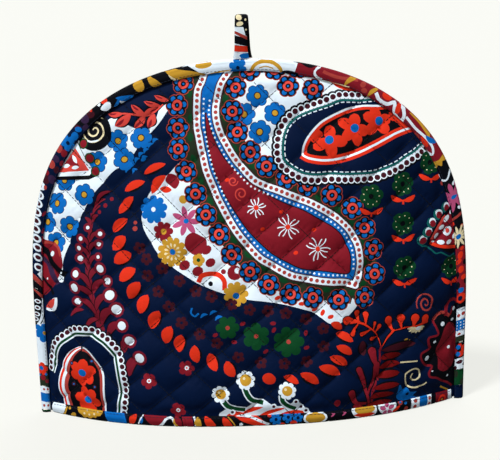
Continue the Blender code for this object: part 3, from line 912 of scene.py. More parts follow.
def add_node(tree, kind, settings=(), **inputs):
    """A shader or geometry node with its settings and inputs; an input that is a socket is joined."""
    node = tree.nodes.new(kind)
    for key, value in dict(settings).items():
        setattr(node, key, value)
    for key, value in inputs.items():
        socket = node.inputs[key.replace("_", " ")]
        if isinstance(value, bpy.types.NodeSocket):
            tree.links.new(value, socket)
        else:
            socket.default_value = value
    return node


# The real weave is about 0.3 mm, too fine to show, so its threads are drawn three times as coarse.
# The clouds of uneven ink are about 11 mm wide, and the small crumples between the stitches 7 mm.
WEAVE_PITCH = 0.000952
WAVES_PER_SCALE = 10 / math.pi
CLOUDS_PER_METRE = 90.0
CRUMPLES_PER_METRE = 150.0
CRUMPLE_DEPTH = 0.0006


def printed_cotton(name, weave_height):
    """Matt woven cotton: no gloss, faint threads, and ink that is a little uneven, as on washed cloth."""
    material = bpy.data.materials.new(name)
    material.use_nodes = True
    tree = material.node_tree
    shader = tree.nodes["Principled BSDF"]
    place = add_node(tree, "ShaderNodeTexCoord").outputs["Object"]
    ink = add_node(tree, "ShaderNodeVertexColor", {"layer_name": "ink"}).outputs["Color"]
    cloud = add_node(tree, "ShaderNodeTexNoise", Vector=place, Scale=CLOUDS_PER_METRE, Detail=4.0)
    patchy = cloud.outputs["Fac"]
    wear = add_node(tree, "ShaderNodeMapRange", Value=patchy, To_Min=0.9, To_Max=1.08).outputs["Result"]
    dyed = add_node(tree, "ShaderNodeVectorMath", {"operation": "SCALE"}, Vector=ink, Scale=wear)
    tree.links.new(dyed.outputs["Vector"], shader.inputs["Base Color"])
    threads = add_node(tree, "ShaderNodeMath", {"operation": "MAXIMUM"})
    for slot, axis in enumerate(("X", "Z")):
        yarns = add_node(
            tree, "ShaderNodeTexWave", {"bands_direction": axis},
            Vector=place, Scale=1 / WEAVE_PITCH / WAVES_PER_SCALE, Distortion=1.5, Detail=2.0,
        )
        tree.links.new(yarns.outputs["Fac"], threads.inputs[slot])
    height = threads.outputs["Value"]
    fine = add_node(tree, "ShaderNodeBump", Height=height, Strength=0.35, Distance=weave_height)
    crumple = add_node(tree, "ShaderNodeTexNoise", Vector=place, Scale=CRUMPLES_PER_METRE, Detail=3.0)
    bump = add_node(
        tree, "ShaderNodeBump",
        Height=crumple.outputs["Fac"], Strength=0.5, Distance=CRUMPLE_DEPTH, Normal=fine.outputs["Normal"],
    )
    tree.links.new(bump.outputs["Normal"], shader.inputs["Normal"])
    shader.inputs["Roughness"].default_value = 0.7
    shader.inputs["Specular IOR Level"].default_value = 0.06
    return material


def quilt_grid(panel, cells):
    """Flat points in mm, in rows along both runs of stitch lines, inside where the bindings let go."""
    reach = math.ceil(math.hypot(FLAT_WIDTH, HEIGHT) / min(QUILT_SPACING)) * cells
    i, j = (k.ravel() for k in np.meshgrid(np.arange(-reach, reach + 1), np.arange(-reach, reach + 1)))
    a, b = i * QUILT_SPACING[0] / cells, j * QUILT_SPACING[1] / cells
    way, other = QUILT_ACROSS
    slant = math.sin(other - way)
    u = CROSSING[panel][0] + (a * math.sin(other) - b * math.sin(way)) / slant
    v = CROSSING[panel][1] + (b * math.cos(way) - a * math.cos(other)) / slant
    inside = edge_distance(u, v) > GRID_INSET
    return np.stack([u, v], 1)[inside] / MM


def dome_turns(count):
    """Turns over the dome from its right hem corner to its left, set closer together near both."""
    share = np.linspace(-1, 1, count)
    return math.pi / 2 * (1 + np.sign(share) * (1 - (1 - np.abs(share)) ** 3))


def panel_outline():
    """The flat panel's cut edge in mm, from the right hem corner over the top and back along the hem."""
    u, v = dome_point(dome_turns(260), RAW_EDGE)
    dome = np.stack([u, v], 1)[v > RAW_EDGE + 0.0012]
    hem = np.linspace(-half_width(RAW_EDGE, RAW_EDGE), half_width(RAW_EDGE, RAW_EDGE), 120)
    return np.vstack([dome, np.stack([hem, np.full(len(hem), RAW_EDGE)], 1)]) / MM


def one_stitch(length, thickness):
    """A stitch of thread that dips into the cloth at both ends, lying along X."""
    rings = ((-0.5, 0.25, -0.6), (-0.28, 0.9, 0.1), (0.28, 0.9, 0.1), (0.5, 0.25, -0.6))
    sides = 5
    points, faces = [], []
    for x, r, z in rings:
        for k in range(sides):
            turn = k * 2 * math.pi / sides
            across, up = r * math.cos(turn), r * math.sin(turn) + z
            points.append((length * x, thickness / 2 * across, thickness / 2 * up))
    for row in range(len(rings) - 1):
        for k in range(sides):
            here, beyond = row * sides + k, row * sides + (k + 1) % sides
            faces.append((here, beyond, beyond + sides, here + sides))
    ends = [tuple(range(sides))[::-1], tuple(range((len(rings) - 1) * sides, len(rings) * sides))]
    mesh = bpy.data.meshes.new("stitch")
    mesh.from_pydata(points, [], [f[::-1] for f in faces] + [e[::-1] for e in ends])
    mesh.shade_smooth()
    return bpy.data.objects.new("stitch", mesh)


def sewn_lines(name, runs, pitch, length, thickness, material, seed):
    """Rows of separate stitches along runs of points, set out by geometry nodes and made a mesh."""
    points, edges = [], []
    for run in runs:
        edges += [(len(points) + k, len(points) + k + 1) for k in range(len(run) - 1)]
        points += [tuple(p) for p in run]
    mesh = bpy.data.meshes.new(name + " guide")
    mesh.from_pydata(points, edges, [])
    guide = bpy.data.objects.new(name + " guide", mesh)
    bpy.context.scene.collection.objects.link(guide)
    stitch = one_stitch(length, thickness)
    bpy.context.scene.collection.objects.link(stitch)
    tree = bpy.data.node_groups.new("rows of stitches", "GeometryNodeTree")
    for label, kind in (
        ("Geometry", "Geometry"), ("Stitch", "Object"),
        ("Pitch", "Float"), ("Seed", "Int"), ("Thread", "Material"),
    ):
        tree.interface.new_socket(label, in_out="INPUT", socket_type="NodeSocket" + kind)
    tree.interface.new_socket("Geometry", in_out="OUTPUT", socket_type="NodeSocketGeometry")
    given = add_node(tree, "NodeGroupInput").outputs
    line = add_node(tree, "GeometryNodeMeshToCurve", Mesh=given["Geometry"]).outputs["Curve"]
    steps = add_node(
        tree, "GeometryNodeResampleCurve", {"mode": "LENGTH"}, Curve=line, Length=given["Pitch"],
    ).outputs["Curve"]
    thread = add_node(tree, "GeometryNodeObjectInfo", Object=given["Stitch"]).outputs["Geometry"]
    tangent = add_node(tree, "GeometryNodeInputTangent").outputs["Tangent"]
    turn = add_node(
        tree, "FunctionNodeAlignRotationToVector", {"axis": "X"}, Vector=tangent,
    ).outputs["Rotation"]
    # Each stitch comes out a little longer or shorter, and thicker or thinner, than the next
    size = add_node(tree, "FunctionNodeRandomValue", {"data_type": "FLOAT_VECTOR"}, Seed=given["Seed"])
    size.inputs[0].default_value = (0.82, 0.9, 0.9)
    size.inputs[1].default_value = (1.04, 1.1, 1.1)
    rows = add_node(
        tree, "GeometryNodeInstanceOnPoints",
        Points=steps, Instance=thread, Rotation=turn, Scale=size.outputs["Value"],
    ).outputs["Instances"]
    real = add_node(tree, "GeometryNodeRealizeInstances", Geometry=rows).outputs["Geometry"]
    dyed = add_node(
        tree, "GeometryNodeSetMaterial", Geometry=real, Material=given["Thread"],
    ).outputs["Geometry"]
    add_node(tree, "NodeGroupOutput", Geometry=dyed)
    setter = guide.modifiers.new("stitches", "NODES")
    setter.node_group = tree
    numbers = {item.name: item.identifier for item in tree.interface.items_tree if item.in_out == "INPUT"}
    for label, value in (("Stitch", stitch), ("Pitch", pitch), ("Seed", seed), ("Thread", material)):
        setter[numbers[label]] = value
    shown = bpy.data.meshes.new_from_object(guide.evaluated_get(bpy.context.evaluated_depsgraph_get()))
    shown.name = name
    for spare in (guide, stitch):
        bpy.data.objects.remove(spare)
    sewn = bpy.data.objects.new(name, shown)
    bpy.context.scene.collection.objects.link(sewn)
    return sewn


def quilting_runs(panel, side):
    """The stitch lines of one face of a panel, as runs of points just above the cloth."""
    surface = panel_face(panel, side)
    outward = 1 if panel == "front_panel" else -1
    reach = math.ceil(math.hypot(FLAT_WIDTH, HEIGHT) / min(QUILT_SPACING))
    along = np.arange(-LINE_REACH, LINE_REACH, LINE_STEP)
    runs = []
    for way, step in zip(QUILT_ACROSS, QUILT_SPACING):
        for line in range(-reach, reach + 1):
            u = CROSSING[panel][0] + line * step * math.cos(way) - along * math.sin(way)
            v = CROSSING[panel][1] + line * step * math.sin(way) + along * math.cos(way)
            inside = edge_distance(u, v) > LINE_INSET
            if inside.sum() > 4:
                u, v = u[inside], v[inside]
                runs.append(surface(u, v) + outward * side * facing(surface, u, v) * THREAD_LIFT)
    return runs


def thread_material(name, colour):
    """Twisted polyester thread, which is matt and gives the eye a fine dashed line in the cloth."""
    material = bpy.data.materials.new(name)
    material.use_nodes = True
    shader = material.node_tree.nodes["Principled BSDF"]
    shader.inputs["Base Color"].default_value = (*linear_colour(colour), 1)
    shader.inputs["Roughness"].default_value = 0.6
    shader.inputs["Specular IOR Level"].default_value = 0.15
    return material


quilted_cotton = printed_cotton("printed quilted cotton", weave_height=0.00012)
quilting_thread = thread_material("black polyester thread", "#06080d")
front_shapes = list(shapes)
front_cloth = sewn_sheet(
    "front_cloth", panel_outline(), "navy", front_shapes,
    (quilt_grid("front_panel", PRINTED_CELLS), quilt_grid("front_panel", PLAIN_CELLS)),
    (panel_face("front_panel", 1), panel_face("front_panel", -1)), 1, quilted_cotton,
)
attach(front_cloth, "root")
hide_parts("front_panel")
front_quilting = sewn_lines(
    "front_quilting", quilting_runs("front_panel", 1) + quilting_runs("front_panel", -1),
    STITCH_PITCH, STITCH_LENGTH, THREAD_THICKNESS, quilting_thread, 3,
)
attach(front_quilting, "root")


# Back panel: the same quilted cotton, cut and quilted like the front. The photo doesn't show it.
# It is cut from another part of the print, which lies turned half round on it.
shapes.clear()
for x, y, turn in ((-150, 262, 0), (-160, 244, 10), (-136, 272, 30), (-120, 262, 0), (-166, 268, 20)):
    blue_bloom(x, y, turn)
for x, y in ((112, 270), (128, 272), (145, 274), (162, 274), (-100, 268), (-84, 274), (172, 258)):
    rosette(x, y, 0)
for x, y in ((156, 246), (170, 240), (158, 232), (-172, 232), (-148, 240)):
    flower("maroon", x, y, 6.2, 4.2, 5, x % 72)
    disc("white", x, y, 1.7, 8)
back_shapes = [(ink, points * (1, -1) + (0, HEIGHT / MM)) for ink, points in list(shapes) + front_shapes]
back_cloth = sewn_sheet(
    "back_cloth", panel_outline(), "navy", back_shapes,
    (quilt_grid("back_panel", PRINTED_CELLS), quilt_grid("back_panel", PLAIN_CELLS)),
    (panel_face("back_panel", 1), panel_face("back_panel", -1)), -1, quilted_cotton,
)
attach(back_cloth, "root")
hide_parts("back_panel")
back_quilting = sewn_lines(
    "back_quilting", quilting_runs("back_panel", 1) + quilting_runs("back_panel", -1),
    STITCH_PITCH, STITCH_LENGTH, THREAD_THICKNESS, quilting_thread, 5,
)
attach(back_quilting, "root")


# Edge binding: a bias strip of the same printed cotton, folded over both panels' raw edges and sewn down,
# from one hem corner over the top to the other.
# Its print is drawn in mm: how far along the seam from the left hem corner, and how far down from the fold.
STRIP_REACH = 11.3
FOLD_TOP = 0.00045
FOLD_ROUND = 0.00175
BINDING_PUFF = 0.00055
BINDING_PINCH = 0.0077
# Points round the bend of the fold, down to the edge and across a strip's end; the step along it is in mm
BEND_POINTS = 12
LEG_POINTS = 16
END_POINTS = 13
STRIP_STEP = 2.5
STITCH_INSET = 1.5
SEAM_STITCH_START = 0.004
SEAM_STITCH_STEP = 0.0025
BINDING_STITCH_PITCH = 0.0030
BINDING_STITCH_LENGTH = 0.0026
BINDING_THREAD_THICKNESS = 0.0004
BINDING_THREAD_LIFT = 0.00008
bias_cotton = printed_cotton("printed bias cotton", weave_height=0.0001)
binding_thread = thread_material("navy sewing thread", "#1b2336")
seam_turns = dome_turns(2001)
dome_line = np.stack(dome_point(seam_turns), 1)
dome_length = np.concatenate([[0], np.cumsum(np.hypot(*np.diff(dome_line, axis=0).T))])


def fold_curve(leg_out):
    """A folded strip from its fold to its edge: the run, how deep it lies and how far it stands out."""
    turn = np.linspace(0, math.pi / 2, BEND_POINTS)
    bend = np.stack([FOLD_TOP + FOLD_ROUND * (1 - np.cos(turn)), leg_out * np.sin(turn)], 1)
    depth = np.linspace(bend[-1, 0], BINDING_WIDTH, LEG_POINTS)[1:]
    share = np.clip((depth - depth[0]) / (BINDING_PINCH - depth[0]), 0, 1)
    leg = np.stack([depth, leg_out + BINDING_PUFF * np.sin(math.pi * share)], 1)
    curve = np.vstack([bend, leg])
    run = np.concatenate([[0], np.cumsum(np.hypot(*np.diff(curve, axis=0).T))])
    return run, curve[:, 0], curve[:, 1]


seam_curve = fold_curve(SEAM_OFFSET + STITCHED_THICKNESS / 2 + GAP + BINDING_CLOTH / 2)


def seam_face(side):
    """The edge binding's outer (side 1) or inner (side -1) face; u runs along the seam, v over the fold."""
    run, depths, outs = seam_curve

    def middle(s, w):
        turn = np.interp(s, dome_length, seam_turns)
        away = np.abs(w) / (STRIP_REACH * MM) * run[-1]
        wander = 1 + 0.03 * np.sin(s / 0.017) * np.sin(s / 0.041)
        u, v = dome_point(turn, np.interp(away, run, depths) * wander)
        y = seam_sway(u, v) - np.sign(w) * np.interp(away, run, outs)
        return np.stack([drawn_in(u, v), y, np.maximum(v, GAP)], -1)

    def face(s, w):
        return middle(s, w) + side * facing(middle, s, w, 0.0003) * BINDING_CLOTH / 2

    return face


def strip_grid(low, high, reach, along, across):
    """Points on a flat strip: a row every so many mm along it, and so many across."""
    s = np.arange(low + along / 2, high - along / 4, along)
    w = np.linspace(-reach, reach, across + 2)[1:-1]
    return np.stack([k.ravel() for k in np.meshgrid(s, w)], 1)


def strip_grids(low, high, reach):
    """The points of a strip's printed face and the fewer ones of its plain face."""
    return (
        strip_grid(low, high, reach, STRIP_STEP, 15),
        strip_grid(low, high, reach, 2 * STRIP_STEP, 11),
    )


def strip_outline(low, high, reach, step):
    """The cut edge of a flat strip, all the way round."""
    s = np.linspace(low, high, math.ceil((high - low) / step) + 1)
    w = np.linspace(-reach, reach, END_POINTS)[1:-1]
    sides = [np.stack([s, np.full(len(s), -reach)], 1), np.stack([np.full(len(w), high), w], 1)]
    return np.vstack(sides + [
        np.stack([s[::-1], np.full(len(s), reach)], 1), np.stack([np.full(len(w), low), w[::-1]], 1),
    ])


# Grounds run from above the fold to beyond the strip's edge
BAND_TOP = -1.5
BAND_FOOT = 10.5


def band(ink, low, high, slant):
    """A stretch of ground across a folded strip; its lower end leans back by the slant."""
    paint(ink, [
        (low, BAND_TOP), (high, BAND_TOP), (high - slant, BAND_FOOT), (low - slant, BAND_FOOT),
    ])


def marks(ink, sides, *places):
    """Discs of one ink: how far along, how far down, the size and, if not round, the squash and turn."""
    for x, y, r, *form in places:
        disc(ink, x, y, r, sides, *form)


def over_the_fold(reach, curve, first, way):
    """Lays print drawn down one side of a folded strip on the flat strip, and again on its other side."""
    run, depths, _ = curve
    laid = []
    for side in (1, -1):
        for ink, points in shapes:
            x, y = points.T
            w = np.interp(y, depths / MM, run / run[-1] * reach)
            w = w + np.minimum(y - depths[0] / MM, 0) + np.maximum(y - depths[-1] / MM, 0)
            laid.append((ink, np.stack([first + way * x, side * w], 1)))
    return laid


shapes.clear()
for ink, low, high, slant in (
    ("green", -9, 2.5, 0.5), ("white", 2.5, 9.5, 0.5), ("blue", 9.5, 17, 0.5), ("white", 17, 22.5, 0.5),
    ("olive", 22.5, 42, 1), ("white", 41, 100, 0), ("rust", 99, 105, 1), ("black", 105, 113, 4),
    ("rust", 113, 118, 6), ("navy", 118, 243, 4), ("black", 240, 342, -16), ("white", 342, 433, -16),
    ("maroon", 432, 577, 2), ("black", 576, 649, 2), ("maroon", 647, 699, 0), ("black", 692, 700, 0),
    ("white", 699, 709, 0), ("blue", 709, 718, 0), ("white", 718, 723, 0), ("olive", 723, 729, 0),
    ("black", 728, 742, 0), ("white", 741, 753, -2), ("green", 752, 767, 0), ("navy", 766, 790, 0),
):
    band(ink, low, high, slant)
marks("rust", 9, (6, 3.3, 1.2), (6, 7, 1.1), (20, 4.2, 1.1), (20, 7.5, 1.1))
marks("maroon", 9, (30, 4, 2.4), (27, 7.5, 1.8))
flower("orange", 37.5, 3.4, 5.6, 3.6, 5, 10)
marks("blue", 8, (38, 3.2, 1.9), (32, 1, 1.3), (33, 7, 1.3))
flower("blue", 68.5, 7.4, 8.2, 5.6, 6, 10)
marks("mustard", 8, (68.5, 8.1, 1.7))
blot("black", [(73, -1.5), (76, 3), (81, 5.5), (87, 7), (94, 7.4), (98, 8), (101, -1.5)])
ribbon("black", smooth_line([(76, 5.5), (82, 8.6), (90, 9.6), (96, 9.2)]), 0.8)
beads = ((79, 1.4), (83.5, 2.8), (89, 3.7), (94.5, 4.2))
marks("white", 11, *((x, y, 2.9, 0.62, 80) for x, y in beads))
marks("plum", 9, *((x, y, 1.7, 0.6, 80) for x, y in beads))
blot("green", [(126, -1.5), (134, 0.7), (142, 1.4), (149, 0.6), (155, -1.5)])
paint("white", [(112.5, 10), (117.5, 5), (123, 9)])
beads = (
    (123.5, 5.9), (131.5, 5.3), (139.5, 4.7), (146.5, 3.5), (153.5, 2.3),
    (160, 2), (167, 1.6), (174, 1.2), (180.6, 0.8), (188, 0),
)
marks("white", 12, *((x, y, 3.9, 0.84, 75) for x, y in beads))
marks("plum", 10, *((x, y, 2.3, 0.76, 75) for x, y in beads))
for foot, tip in (
    ((134, 9.6), (142, 8)), ((144, 9.4), (151, 8.2)), ((152, 7.4), (158, 9)), ((166, 6), (172, 8.5)),
):
    leaf("maroon", foot, tip, 2)
marks(
    "plum", 10, (195, 2.4, 4, 0.7, 20), (207, 6.5, 3, 0.7, 0),
    (260, 2.8, 3.4, 0.7, 10), (245, 3, 3, 0.7, 50),
)
marks("violet", 10, (198, 6.4, 3.4), (254, 2, 3.6), (214, 3, 2.6), (250, 6.5, 3, 0.6, 0))
marks("rust", 10, (208, 2, 3.2, 0.8), (222, 1.4, 3.2, 0.8), (189, 3.5, 1.8, 0.7))
marks("maroon", 10, (222, 5.8, 3, 0.8), (200, 1, 2), (214, 7.6, 2.4, 0.6))
flower("blue", 230.5, 4.2, 6, 4, 5, 10)
marks("navy", 8, (230.5, 4.2, 1.5), (238, 4.6, 1.2))
marks("blue", 10, (238.5, 5, 3.4, 0.8), (244.5, 4, 2.8, 0.7, 40))
marks("orange", 9, (262, 0.4, 1.4), (275, 0.9, 2.8, 0.8))
blot("white", [(269, 4.4), (271.5, 3), (276, 2.4), (278.5, 4.5), (276, 7.6), (272, 7.4)])
marks("white", 9, (270, 1, 1.5, 0.7), (288.5, 8, 3.9, 0.52, 20), (336, 9.2, 1))
leaf("blue", (284, 3.6), (298, 8), 4.2, 0.1)
leaf("blue", (279, 8), (287, 4.6), 2.2, 0.1)
marks("mustard", 14, (305, 3.2, 5.0, 0.86, 90), (358.5, 2, 6.6, 0.38))
leaf("mustard", (314, -0.5), (322.5, 10), 6, 0.12)
leaf("cream", (330, 3), (334.5, 10), 2.6)
leaf("mustard", (327, -1), (360, 9.4), 8.6, 0.1)
ribbon("mustard", smooth_line([(360, 9.4), (370, 8.4), (379, 7.8)]), 1.0)
flower("blue", 385, 6.2, 7.2, 4.8, 6, 20)
marks("navy", 8, (385, 6.4, 1.5))
ribbon("mustard", smooth_line([
    (395.5, 10), (397, 6), (401, 2.9), (407, 1.8), (413, 2.7), (418, 5.6), (420, 8.5),
]), 2.7)
ribbon("mustard", smooth_line([(402, 6.6), (407, 5.3), (413, 6.4)]), 0.8)
blot("black", [(420, 10.5), (421, 7.5), (427, 6.7), (433, 8), (433, 10.5)])
blot("black", [(428, -1.5), (434, 1), (441, 2.5), (446, 0.5), (446, -1.5)])
ribbon("rust", smooth_line([(452, 3), (463, 4.2), (474, 2.4), (480, 1)]), 2.4)
ribbon("white", smooth_line([(450, -0.5), (446.5, 2.5), (446, 5.5), (449, 8), (453, 8.8)]), 1.8)
ribbon("cream", smooth_line([(453, 9.4), (465, 9.2), (476, 8)]), 0.9)
leaf("mustard", (479.5, -0.6), (471.5, 8.6), 3.6, 0.15)
marks("rust", 9, (488, 6, 2.6, 0.7), (485, 2.6, 2.2), (545, 9, 3, 0.5))
leaf("mustard", (497.5, 0), (492.5, 9), 3.2, 0.12)
ribbon("white", smooth_line([
    (497, 3.4), (502, 6.4), (509, 6.2), (513.5, 2.4), (517, 6.5), (522, 9.4), (529, 10),
]), 2.6)
ribbon("white", smooth_line([(517, -0.5), (523, 2.5), (526.5, 6), (527.5, 10)]), 2.6)
marks("orange", 12, (506, 1.6, 4.2, 0.6), (518.8, 4.2, 4, 0.55, 65), (553, 6.9, 5, 0.36, 4))
leaf("mustard", (528, 1.5), (556, 3.6), 3.6, -0.08)
ribbon("white", smooth_line([
    (528, 5), (540, 6), (552, 4.6), (561, 4.6), (565.5, 7), (561, 9.6), (553, 9.8),
]), 1.7)
leaf("blue", (550, 4), (561, 0), 3.4, 0.1)
blot("mustard", [(571, -0.5), (576, 1), (575, 3), (578, 5), (575.5, 7), (577, 10), (571, 10), (572.5, 5)])
ribbon("white", smooth_line([(584.5, 0.5), (588.5, 3.4), (590, 6), (587.5, 9)]), 1.5)
star("pink", 605.5, 4.2, 12, 3.2, 9, 15, 0.5)
marks("pink", 12, (605.5, 4.2, 3.8))
marks("white", 8, (595.5, 1.4, 1.8, 0.6, 40), (616, 1.8, 1.8, 0.6, -40), (605, -0.6, 1.6))
marks("blue", 10, (605.5, 3.8, 2.4, 0.8, 90))
ribbon("rust", smooth_line([(621, 0.5), (622, 5), (622.5, 10)]), 2.2)
marks("orange", 8, (626, 9, 1.6), (631, 2, 1.4))
star("cream", 638.4, 5.6, 9.4, 2.1, 11, 8, 0.6)
marks("blue", 10, (638.4, 5.6, 2.1))
marks(
    "orange", 10, (654, 5.2, 3.2, 0.7, 10), (659, 7, 2.8, 0.7, 60),
    (666, 5, 3, 0.8), (673, 3, 2.2), (649, 3.6, 1.6),
)
marks("black", 10, (661, 2, 2.4, 0.6), (670, 8, 3, 0.5), (679, 8, 3.4, 0.6), (677, 1.2, 2.6, 0.6))
marks("blue", 10, (683.5, 5.3, 2.8, 0.8, 90))
marks("orange", 12, (690.3, 5.3, 4.4))
marks("navy", 9, (690.3, 6, 2.1))
marks("rust", 9, (704, 3, 1.7), (705, 7, 1.6), (721, 5.9, 1.3), (706.5, 0.6, 1.2))
marks("white", 6, *((x, y, 0.6) for x in (711, 713.5, 716) for y in (2, 5, 8)))
marks("orange", 10, (734.5, 1.4, 3.6, 0.7), (738.5, 4, 2.6), (731, 5, 1.8))
marks("blue", 9, (732.5, 6.4, 2.1), (738.5, 6.4, 2.1))
marks("maroon", 9, (735.5, 9, 2.2))
marks("plum", 10, (745.6, 4.6, 2.9, 0.6, 80), (750.5, 8.4, 1.7), (748, 0.8, 1.3))
marks("olive", 10, (756, 7.8, 3.4, 0.6), (763, 1.5, 2.6))
SEAM_END = float(dome_length[-1]) / MM
seam_shapes = over_the_fold(STRIP_REACH, seam_curve, SEAM_END, -1)
edge_strip = sewn_sheet(
    "seam_strip", strip_outline(0, SEAM_END, STRIP_REACH, STRIP_STEP), "navy", seam_shapes,
    strip_grids(0, SEAM_END, STRIP_REACH), (seam_face(1), seam_face(-1)), 1, bias_cotton,
)
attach(edge_strip, "root")
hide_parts("edge_binding")
seam_surface = seam_face(1)
along = np.arange(SEAM_STITCH_START, SEAM_END * MM - SEAM_STITCH_START, SEAM_STITCH_STEP)
seam_runs = []
for side in (-1, 1):
    across = np.full(len(along), side * (STRIP_REACH - STITCH_INSET) * MM)
    outward = facing(seam_surface, along, across)
    seam_runs.append(seam_surface(along, across) + outward * BINDING_THREAD_LIFT)
edge_stitches = sewn_lines(
    "edge_stitches", seam_runs,
    BINDING_STITCH_PITCH, BINDING_STITCH_LENGTH, BINDING_THREAD_THICKNESS, binding_thread, 7,
)
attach(edge_stitches, "root")


# Hem bindings: one bias strip folded up over each panel's hem and sewn down. The cosy stands on their
# folds, and each end of the front one runs in under the edge binding.
# Their print is drawn in mm: how far along from the middle, and how far up from the fold.
HEM_OUT = STITCHED_THICKNESS / 2 + GAP + BINDING_CLOTH / 2
HEM_REACH = 10.2
HEM_STITCH_START = 3
HEM_END = float(FLAT_WIDTH / 2 - MARGIN) / MM - 3.5
hem_curve = fold_curve(HEM_OUT)


def hem_face(panel, side):
    """A hem binding's outer or inner face; u runs along the hem and v over the fold, towards -Y."""
    run, depths, outs = hem_curve

    def middle(s, w):
        away = np.abs(w) / (HEM_REACH * MM) * run[-1]
        wander = 1 + 0.04 * np.sin(s / 0.013) * np.sin(s / 0.031) * (away > run[BEND_POINTS - 1])
        depth = np.interp(away, run, depths) * wander
        ahead = stand(panel, s + 0.001, depth) - stand(panel, s - 0.001, depth)
        toward = np.stack([ahead[..., 1], -ahead[..., 0], 0 * ahead[..., 0]], -1)
        toward = toward / np.linalg.norm(toward, axis=-1, keepdims=True)
        return stand(panel, s, depth) + toward * (np.sign(w) * np.interp(away, run, outs))[..., None]

    def face(s, w):
        return middle(s, w) + side * facing(middle, s, w, 0.0003) * BINDING_CLOTH / 2

    return face


shapes.clear()
for ink, low, high, slant in (
    ("black", -200, -117, 0), ("blue", -115.5, -98.5, 2.6), ("black", -98.5, -52, 0),
    ("maroon", -53, -45, 1.5), ("black", -45, 60, 0), ("black", 60, 128, 0),
    ("white", 128, 136, 0), ("blue", 136, 143, 0), ("white", 143, 147, 0), ("black", 147, 152, 0),
    ("maroon", 152, 164, 1), ("white", 164.5, 168, 1.5), ("navy", 168, 200, 0),
):
    band(ink, low, high, slant)
blot("white", [(-168, 1.5), (-164, 0), (-158.5, 0.6), (-155.5, 4), (-154, 8.5), (-160, 9.6), (-167, 9)])
ribbon("mustard", smooth_line([(-159, -0.2), (-155, 2.6), (-152.6, 8)]), 1.5)
marks("mustard", 10, (-147, 2.2, 3, 0.6, 30), (-150, 7, 1.2))
blot("mustard", [
    (-142.5, 9), (-141.5, 5.4), (-138.5, 3.2), (-136.5, 1.2), (-133.5, 2.4), (-131, 1.4),
    (-128.5, 3), (-126, 2.6), (-124.5, 4.4), (-121.5, 5), (-119.5, 9), (-123, 10.4), (-138, 10.4),
])
marks(
    "cream", 7, (-136, 5, 0.9), (-131.5, 4.6, 0.9), (-127, 5.6, 0.9), (-133.5, 7.6, 0.8), (-124, 7.6, 0.8),
)
leaf("orange", (-96, 0), (-90.6, 9.2), 5.4, 0.08)
marks("blue", 9, (-87, 4.4, 2.6, 0.6, 80))
ribbon("white", smooth_line([(-89.8, -0.5), (-88.6, 3.6), (-84.6, 9.8)]), 0.9)
blot("maroon", [(-84, 10.4), (-82.5, 5), (-79, 1.6), (-75.5, 0.4), (-72, 2), (-69, 6), (-66.5, 10.4)])
ribbon("white", smooth_line([(-74, -0.6), (-70, 2.6), (-66.5, 7), (-62.5, 8), (-60.5, 5), (-59, 0.5)]), 2.0)
leaf("mustard", (-58, 0.4), (-60.6, 7.4), 3.6)
leaf("maroon", (-55, 0), (-59.5, 10.4), 5)
ribbon("white", smooth_line([(-44.4, -0.6), (-43.6, 4), (-45, 9.6)]), 1.4)
leaf("mustard", (-40, -0.6), (-42, 9), 5.4, 0.1)
leaf("orange", (-27.5, -0.6), (-36.5, 9.4), 6.2, 0.08)
leaf("orange", (-15, -0.6), (-22.5, 8.4), 5.8, 0.08)
ribbon("mustard", smooth_line([(-12.6, 0), (-14.6, 4), (-18.6, 8.6)]), 1.0)
marks("white", 5, (-8.6, 2.4, 1.6))
leaf("orange", (-14, 9.6), (12, 0.2), 8.4, 0.06)
ribbon("white", smooth_line([(-12, 10), (-3, 8.8), (5, 5.4), (13, 1.6)]), 2.0)
marks("black", 6, (-6, 9.2, 0.5), (-1, 8, 0.5), (3.6, 6, 0.5), (8, 4, 0.5))
for x, y, r in ((18.5, 5.4, 5.4), (28, 6.6, 5.2), (35.5, 5.8, 4.4)):
    flower("black", x, y, r + 0.8, r * 0.7, 6, 7 * x)
    flower("blue", x, y, r - 0.4, r * 0.5, 6, 7 * x)
    disc("navy", x, y, 1.3, 8)
marks("orange", 9, (32, 1.8, 2.8, 0.8), (23.5, 1, 2.2, 0.7), (13.5, 8.6, 1.6))
marks("white", 16, (49, 4.8, 9.4, 0.6))
marks("mustard", 14, (49, 4.8, 7.8, 0.56))
for x in (61, 70):
    leaf("pink", (x, 4.6), (x + 3.4, 7), 1.3)
    leaf("pink", (x + 0.6, 7.6), (x + 3.6, 6.6), 1.0)
blot("white", [(78.5, 9.6), (80.5, 2.4), (88, 1.4), (97, 2.4), (98, 8), (95, 10)])
leaf("orange", (79.5, 3.6), (97, 3), 4.4)
blot("mustard", [(81.5, 9.6), (82, 5), (95, 4.8), (95.6, 9.2)])
blot("white", [(100, 9.6), (101.5, 3), (107, 0.6), (113, 3), (114, 9.6)])
star("pink", 107, 5, 6.4, 3.4, 5, 20)
leaf("orange", (111.5, 1.4), (118, 6), 2.8)
marks(
    "rust", 9, (118.5, 8.2, 2.2), (123.5, 2.6, 1.8), (131.6, 2.4, 1.7),
    (132, 6.9, 1.7), (145, 2, 1.4), (145, 6.4, 1.4),
)
marks("blue", 8, (118.5, 8.2, 1.0), (123, 7, 1.3))
marks("orange", 12, (157.4, 2.8, 3.9))
marks("maroon", 9, (157.4, 2.8, 2.3))
marks("mustard", 7, (157.4, 2.8, 1.0))
